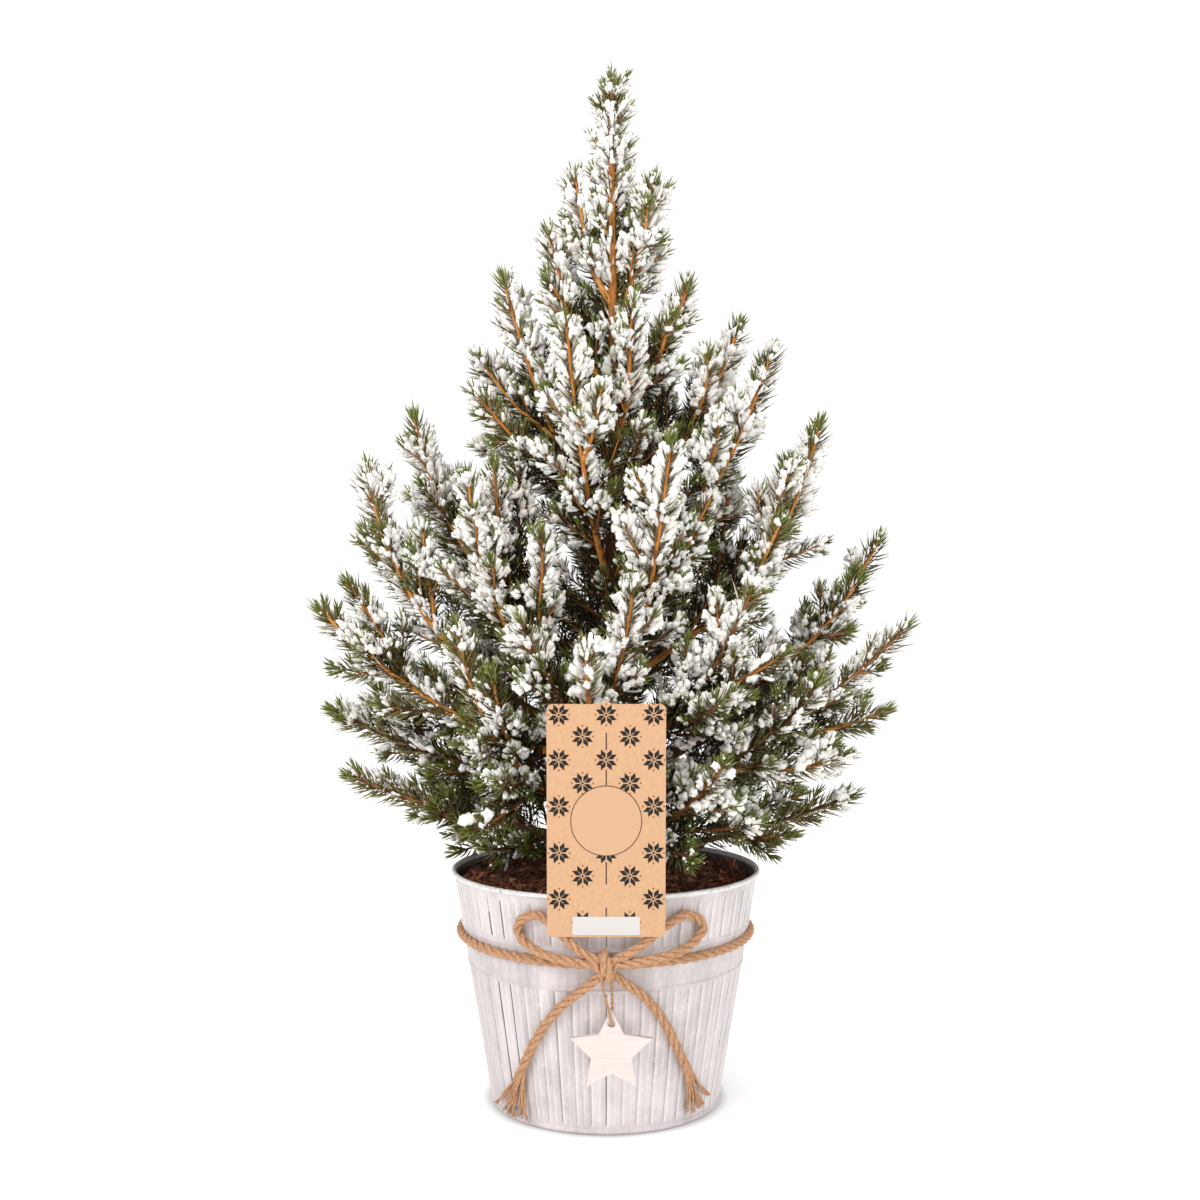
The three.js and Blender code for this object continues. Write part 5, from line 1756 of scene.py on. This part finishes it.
def motif_tree(material):
    """A flower of eight slanted petals with a dot in its middle, at each point of the card's grid."""
    tree = Tree("star_flowers", Flower_radius=0.00465, Ink=0.00014)
    block = tree.node("GeometryNodeMeshCube", Size=(1.0, 1.0, 1.0)).outputs[0]
    first, second, third = tree.place().outputs[0:3]
    near = tree.product(tree.math("MULTIPLY_ADD", first, 0.45, 0.292), tree.input("Flower radius"))
    thick = tree.product(third, tree.input("Ink"))
    petals = []
    for way in (1.0, -1.0):
        far = tree.math("ADD", tree.product(first, 0.39), tree.product(second, 0.48 * way))
        far = tree.product(tree.math("ADD", far, 0.58), tree.input("Flower radius"))
        across, up = (near, far) if way > 0 else (far, near)
        sheared = tree.node("ShaderNodeCombineXYZ", X=across, Y=up, Z=thick).outputs[0]
        petals.append(tree.node("GeometryNodeSetPosition", Geometry=block, Position=sheared).outputs[0])
    quarters = tree.node("GeometryNodeMeshLine", Count=4, Offset=(0.0, 0.0, 0.0))
    quarter = tree.product(tree.node("GeometryNodeInputIndex").outputs[0], math.pi / 2)
    turned = tree.node("ShaderNodeCombineXYZ", Z=quarter)
    spread = tree.node(
        "GeometryNodeInstanceOnPoints", Points=quarters.outputs[0], Instance=tree.joined(*petals),
        Rotation=turned.outputs[0],
    )
    dot = tree.node("GeometryNodeMeshCylinder", Vertices=8, Radius=0.0005, Depth=tree.input("Ink"))
    flower = tree.joined(spread.outputs[0], dot.outputs[0])
    laid = tree.node("GeometryNodeInstanceOnPoints", Points=tree.input("Geometry"), Instance=flower)
    return tree.end(laid.outputs[0], material, smooth=False)


def dots_tree(material):
    """Four small dots round each point of the card's grid."""
    tree = Tree("flower_dots", Dot_radius=0.0004, Spread=0.00475)
    dot = tree.node("GeometryNodeMeshCylinder", Vertices=8, Radius=tree.input("Dot radius"), Depth=0.00013)
    ring = tree.node("GeometryNodeMeshCircle", Vertices=4, Radius=tree.input("Spread"))
    four = tree.node("GeometryNodeInstanceOnPoints", Points=ring.outputs[0], Instance=dot.outputs[0])
    laid = tree.node(
        "GeometryNodeInstanceOnPoints", Points=tree.input("Geometry"), Instance=four.outputs[0]
    )
    return tree.end(laid.outputs[0], material, smooth=False)


def flower_places():
    """The half-drop grid of flowers on the card, clear of its middle and of its ring's inside."""
    places = []
    pitch, step = 21.2, 10.57
    # Between the two lowest rules this row has no flower in its middle
    bare_row = 8
    for row in range(10):
        height = min(101.2, 102.0 - row * step)
        columns = (-pitch, 0.0, pitch) if row % 2 == 0 else (-pitch / 2, pitch / 2)
        for across in columns:
            if math.hypot(across, height - RING_HEIGHT) < 11.5 or (across == 0.0 and row == bare_row):
                continue
            places.append((across * MM, height * MM, CARD_SIZE[2] * MM + 0.00002))
    return places


class CutCard(bpy.types.Operator):
    """Cuts the card and prints its flowers, ring and blank patch"""

    bl_idname = "spruce.cut_card"
    bl_label = "Cut the card"

    def execute(self, context):
        trim = context.scene.spruce_trim
        wide, high, thick = (size * MM for size in CARD_SIZE)
        corner = CARD_CORNER * MM
        outline = []
        for middle_x, middle_y, start in (
            (wide / 2 - corner, corner, -90), (wide / 2 - corner, high - corner, 0),
            (-wide / 2 + corner, high - corner, 90), (-wide / 2 + corner, corner, 180),
        ):
            for step in range(7):
                turn = math.radians(start + step * 15)
                outline.append((middle_x + corner * math.cos(turn), middle_y + corner * math.sin(turn)))
            # The small tab in the middle of the card's top
            if start == 0:
                outline += [
                    (2.3 * MM * math.cos(turn), high + 1.0 * MM * math.sin(turn))
                    for turn in np.linspace(0, math.pi, 9)
                ]
        card = outline_curve("kraft_tag", [outline], thick, 0.14 * MM)
        card.data.materials.append(kraft(trim))
        moved(card, Matrix.Translation((0, 0, thick / 2)))
        ink = Finish("black_ink", srgb(26, 22, 22), 0.55, specular=0.3).material
        brown = Finish("brown_ink", srgb(150, 62, 34), 0.6, specular=0.3).material
        places = flower_places()
        flowers = motif_tree(ink).run("printed_flowers", base_object("flower_grid", places))
        dots = dots_tree(brown).run("printed_dots", base_object("dot_grid", places))
        lines = self.lines(thick)
        for piece in (card, flowers, dots, *lines):
            moved(piece, CARD_PLACE)
        finished(card, "tag", slot="card")
        for piece in (flowers, dots, *lines):
            finished(piece, slot="card")
        return {"FINISHED"}

    def lines(self, thick):
        """The ring and its bare disc, the rules above and below, and the blank patch."""
        ink = Finish("ring_ink", srgb(70, 48, 38), 0.6, specular=0.3).material
        disc = Finish("disc_card", srgb(206, 165, 130), 0.8, specular=0.25).material
        blank = Finish("white_patch", srgb(208, 203, 200), 0.6).material

        def ring_loop(radius, way=1):
            return [
                (radius * MM * math.cos(turn), (RING_HEIGHT + radius * math.sin(turn)) * MM)
                for turn in np.linspace(0, 2 * math.pi * way, 96, endpoint=False)
            ]

        def flat(name, loops, ink_height, finish):
            piece = outline_curve(name, loops, ink_height * MM, 0.0)
            piece.data.materials.append(finish)
            return moved(piece, Matrix.Translation((0, 0, thick)))

        def oblong(half, low, high):
            corners = ((-half, low), (half, low), (half, high), (-half, high))
            return [(across * MM, up * MM) for across, up in corners]

        pieces = [
            flat("bare_disc", [ring_loop(RING_RADIUS)], 0.3, disc),
            flat(
                "printed_ring", [ring_loop(RING_RADIUS + 0.15), ring_loop(RING_RADIUS - 0.2, -1)], 0.34, ink
            ),
            flat("blank_patch", [oblong(15.2, 1.0, 9.4)], 0.3, blank),
        ]
        for index, (low, high) in enumerate(RULES):
            pieces.append(flat(f"printed_rule_{index + 1}", [oblong(0.28, low, high)], 0.14, ink))
        return pieces


# Stage

# Lamps: name, place, width and power
LAMPS = (
    ("key", (-1.0, -1.2, 1.2), 0.8, 16), ("fill", (1.1, -1.1, 0.7), 1.2, 6.5),
    ("over", (0.0, -0.2, 1.7), 1.2, 9.5),
)
LAMPS_AIM = (0, 0, 0.25)
WORLD_LIGHT = 0.56
BACKDROP = 1.05
CAMERA_ASIDE = -0.0028


class SetStage(bpy.types.Operator):
    """Sets the floor, the studio light and the camera"""

    bl_idname = "spruce.set_stage"
    bl_label = "Set the stage"

    def execute(self, context):
        settings = context.scene.spruce_stage
        context.scene.view_settings.view_transform = "Standard"
        context.scene.world = self.world(WORLD_LIGHT * settings.light)
        self.floor()
        for name, place, size, power in LAMPS:
            lamp = bpy.data.lights.new(name, "AREA")
            lamp.shape = "DISK"
            lamp.size = size
            lamp.energy = power * settings.light
            holder = linked(name, lamp)
            holder.location = place
            aim = Vector(LAMPS_AIM) - Vector(place)
            holder.rotation_euler = aim.to_track_quat("-Z", "Y").to_euler()
        camera = bpy.data.cameras.new("camera")
        camera.sensor_width = 36
        camera.lens = settings.lens
        holder = linked("camera", camera)
        holder.location = (CAMERA_ASIDE, -settings.camera_distance, settings.camera_height)
        holder.rotation_euler = (math.pi / 2, 0, 0)
        context.scene.camera = holder
        return {"FINISHED"}

    def world(self, light):
        """A white room that lights the pot evenly and shows as pure white behind it."""
        world = bpy.data.worlds.new("studio")
        world.use_nodes = True
        nodes, links = world.node_tree.nodes, world.node_tree.links
        backdrop = nodes["Background"]
        backdrop.inputs["Color"].default_value = (1.0, 1.0, 1.0, 1.0)
        seen = nodes.new("ShaderNodeLightPath")
        share = nodes.new("ShaderNodeMath")
        share.operation = "MULTIPLY_ADD"
        share.inputs[1].default_value = BACKDROP - light
        share.inputs[2].default_value = light
        links.new(seen.outputs["Is Camera Ray"], share.inputs[0])
        links.new(share.outputs[0], backdrop.inputs["Strength"])
        return world

    def floor(self):
        """A white floor that glows evenly, with a painted shadow where its glow fades round the pot's foot.
        """
        corners = [(-6, -6, 0), (6, -6, 0), (6, 6, 0), (-6, 6, 0)]
        floor = base_object("floor", corners, faces=[(0, 1, 2, 3)])
        pale = Finish("pale_floor", (0.5, 0.5, 0.5), 0.9, specular=0.0)
        away = pale.node("ShaderNodeVectorMath", {"operation": "LENGTH"}, Vector=pale.places())
        # Painted shadow: the glow falls almost to nothing in a narrow ring round the pot's foot
        glow_with_painted_shadow = pale.ramp(
            pale.math("DIVIDE", away.outputs["Value"], 2.0),
            (0.0288, 0.02), (0.0312, 0.58), (0.045, 0.76), (0.4, 0.8),
        )
        pale.join(glow_with_painted_shadow, pale.shader.inputs["Emission Color"])
        pale.shader.inputs["Emission Strength"].default_value = 1.0
        floor.data.materials.append(pale.material)


class SprucePanel(bpy.types.Panel):
    """Lists the pieces of the potted spruce"""

    bl_idname = "VIEW3D_PT_spruce"
    bl_label = "Potted dwarf spruce"
    bl_space_type = "VIEW_3D"
    bl_region_type = "UI"
    bl_category = "Spruce"

    def draw(self, context):
        for name, group, operators in GROUPS:
            box = self.layout.box()
            for key in group.__annotations__:
                box.prop(getattr(context.scene, name), key)
            for operator in operators:
                box.operator(operator.bl_idname)


# Each group of sizes with its name in the scene and the operators that read it
GROUPS = (
    ("spruce_pot", PotSizes, (MakePot, MakeSoil)),
    ("spruce_crown", CrownSizes, (GrowTrunk, GrowFoliage)),
    ("spruce_trim", TrimSizes, (TieRope, HangStar, CutCard)),
    ("spruce_stage", StageSettings, (SetStage,)),
)


def register():
    for name, group, operators in GROUPS:
        bpy.utils.register_class(group)
        setattr(bpy.types.Scene, name, bpy.props.PointerProperty(type=group))
        for operator in operators:
            bpy.utils.register_class(operator)
    bpy.utils.register_class(SprucePanel)


def unregister():
    bpy.utils.unregister_class(SprucePanel)
    for name, group, operators in reversed(GROUPS):
        for operator in operators:
            bpy.utils.unregister_class(operator)
        delattr(bpy.types.Scene, name)
        bpy.utils.unregister_class(group)


def main():
    register()
    bpy.ops.spruce.make_pot()
    bpy.ops.spruce.make_soil()
    bpy.ops.spruce.grow_trunk()
    bpy.ops.spruce.grow_foliage()
    bpy.ops.spruce.tie_rope()
    bpy.ops.spruce.hang_star()
    bpy.ops.spruce.cut_card()
    bpy.ops.spruce.set_stage()


if __name__ == "__main__":
    main()
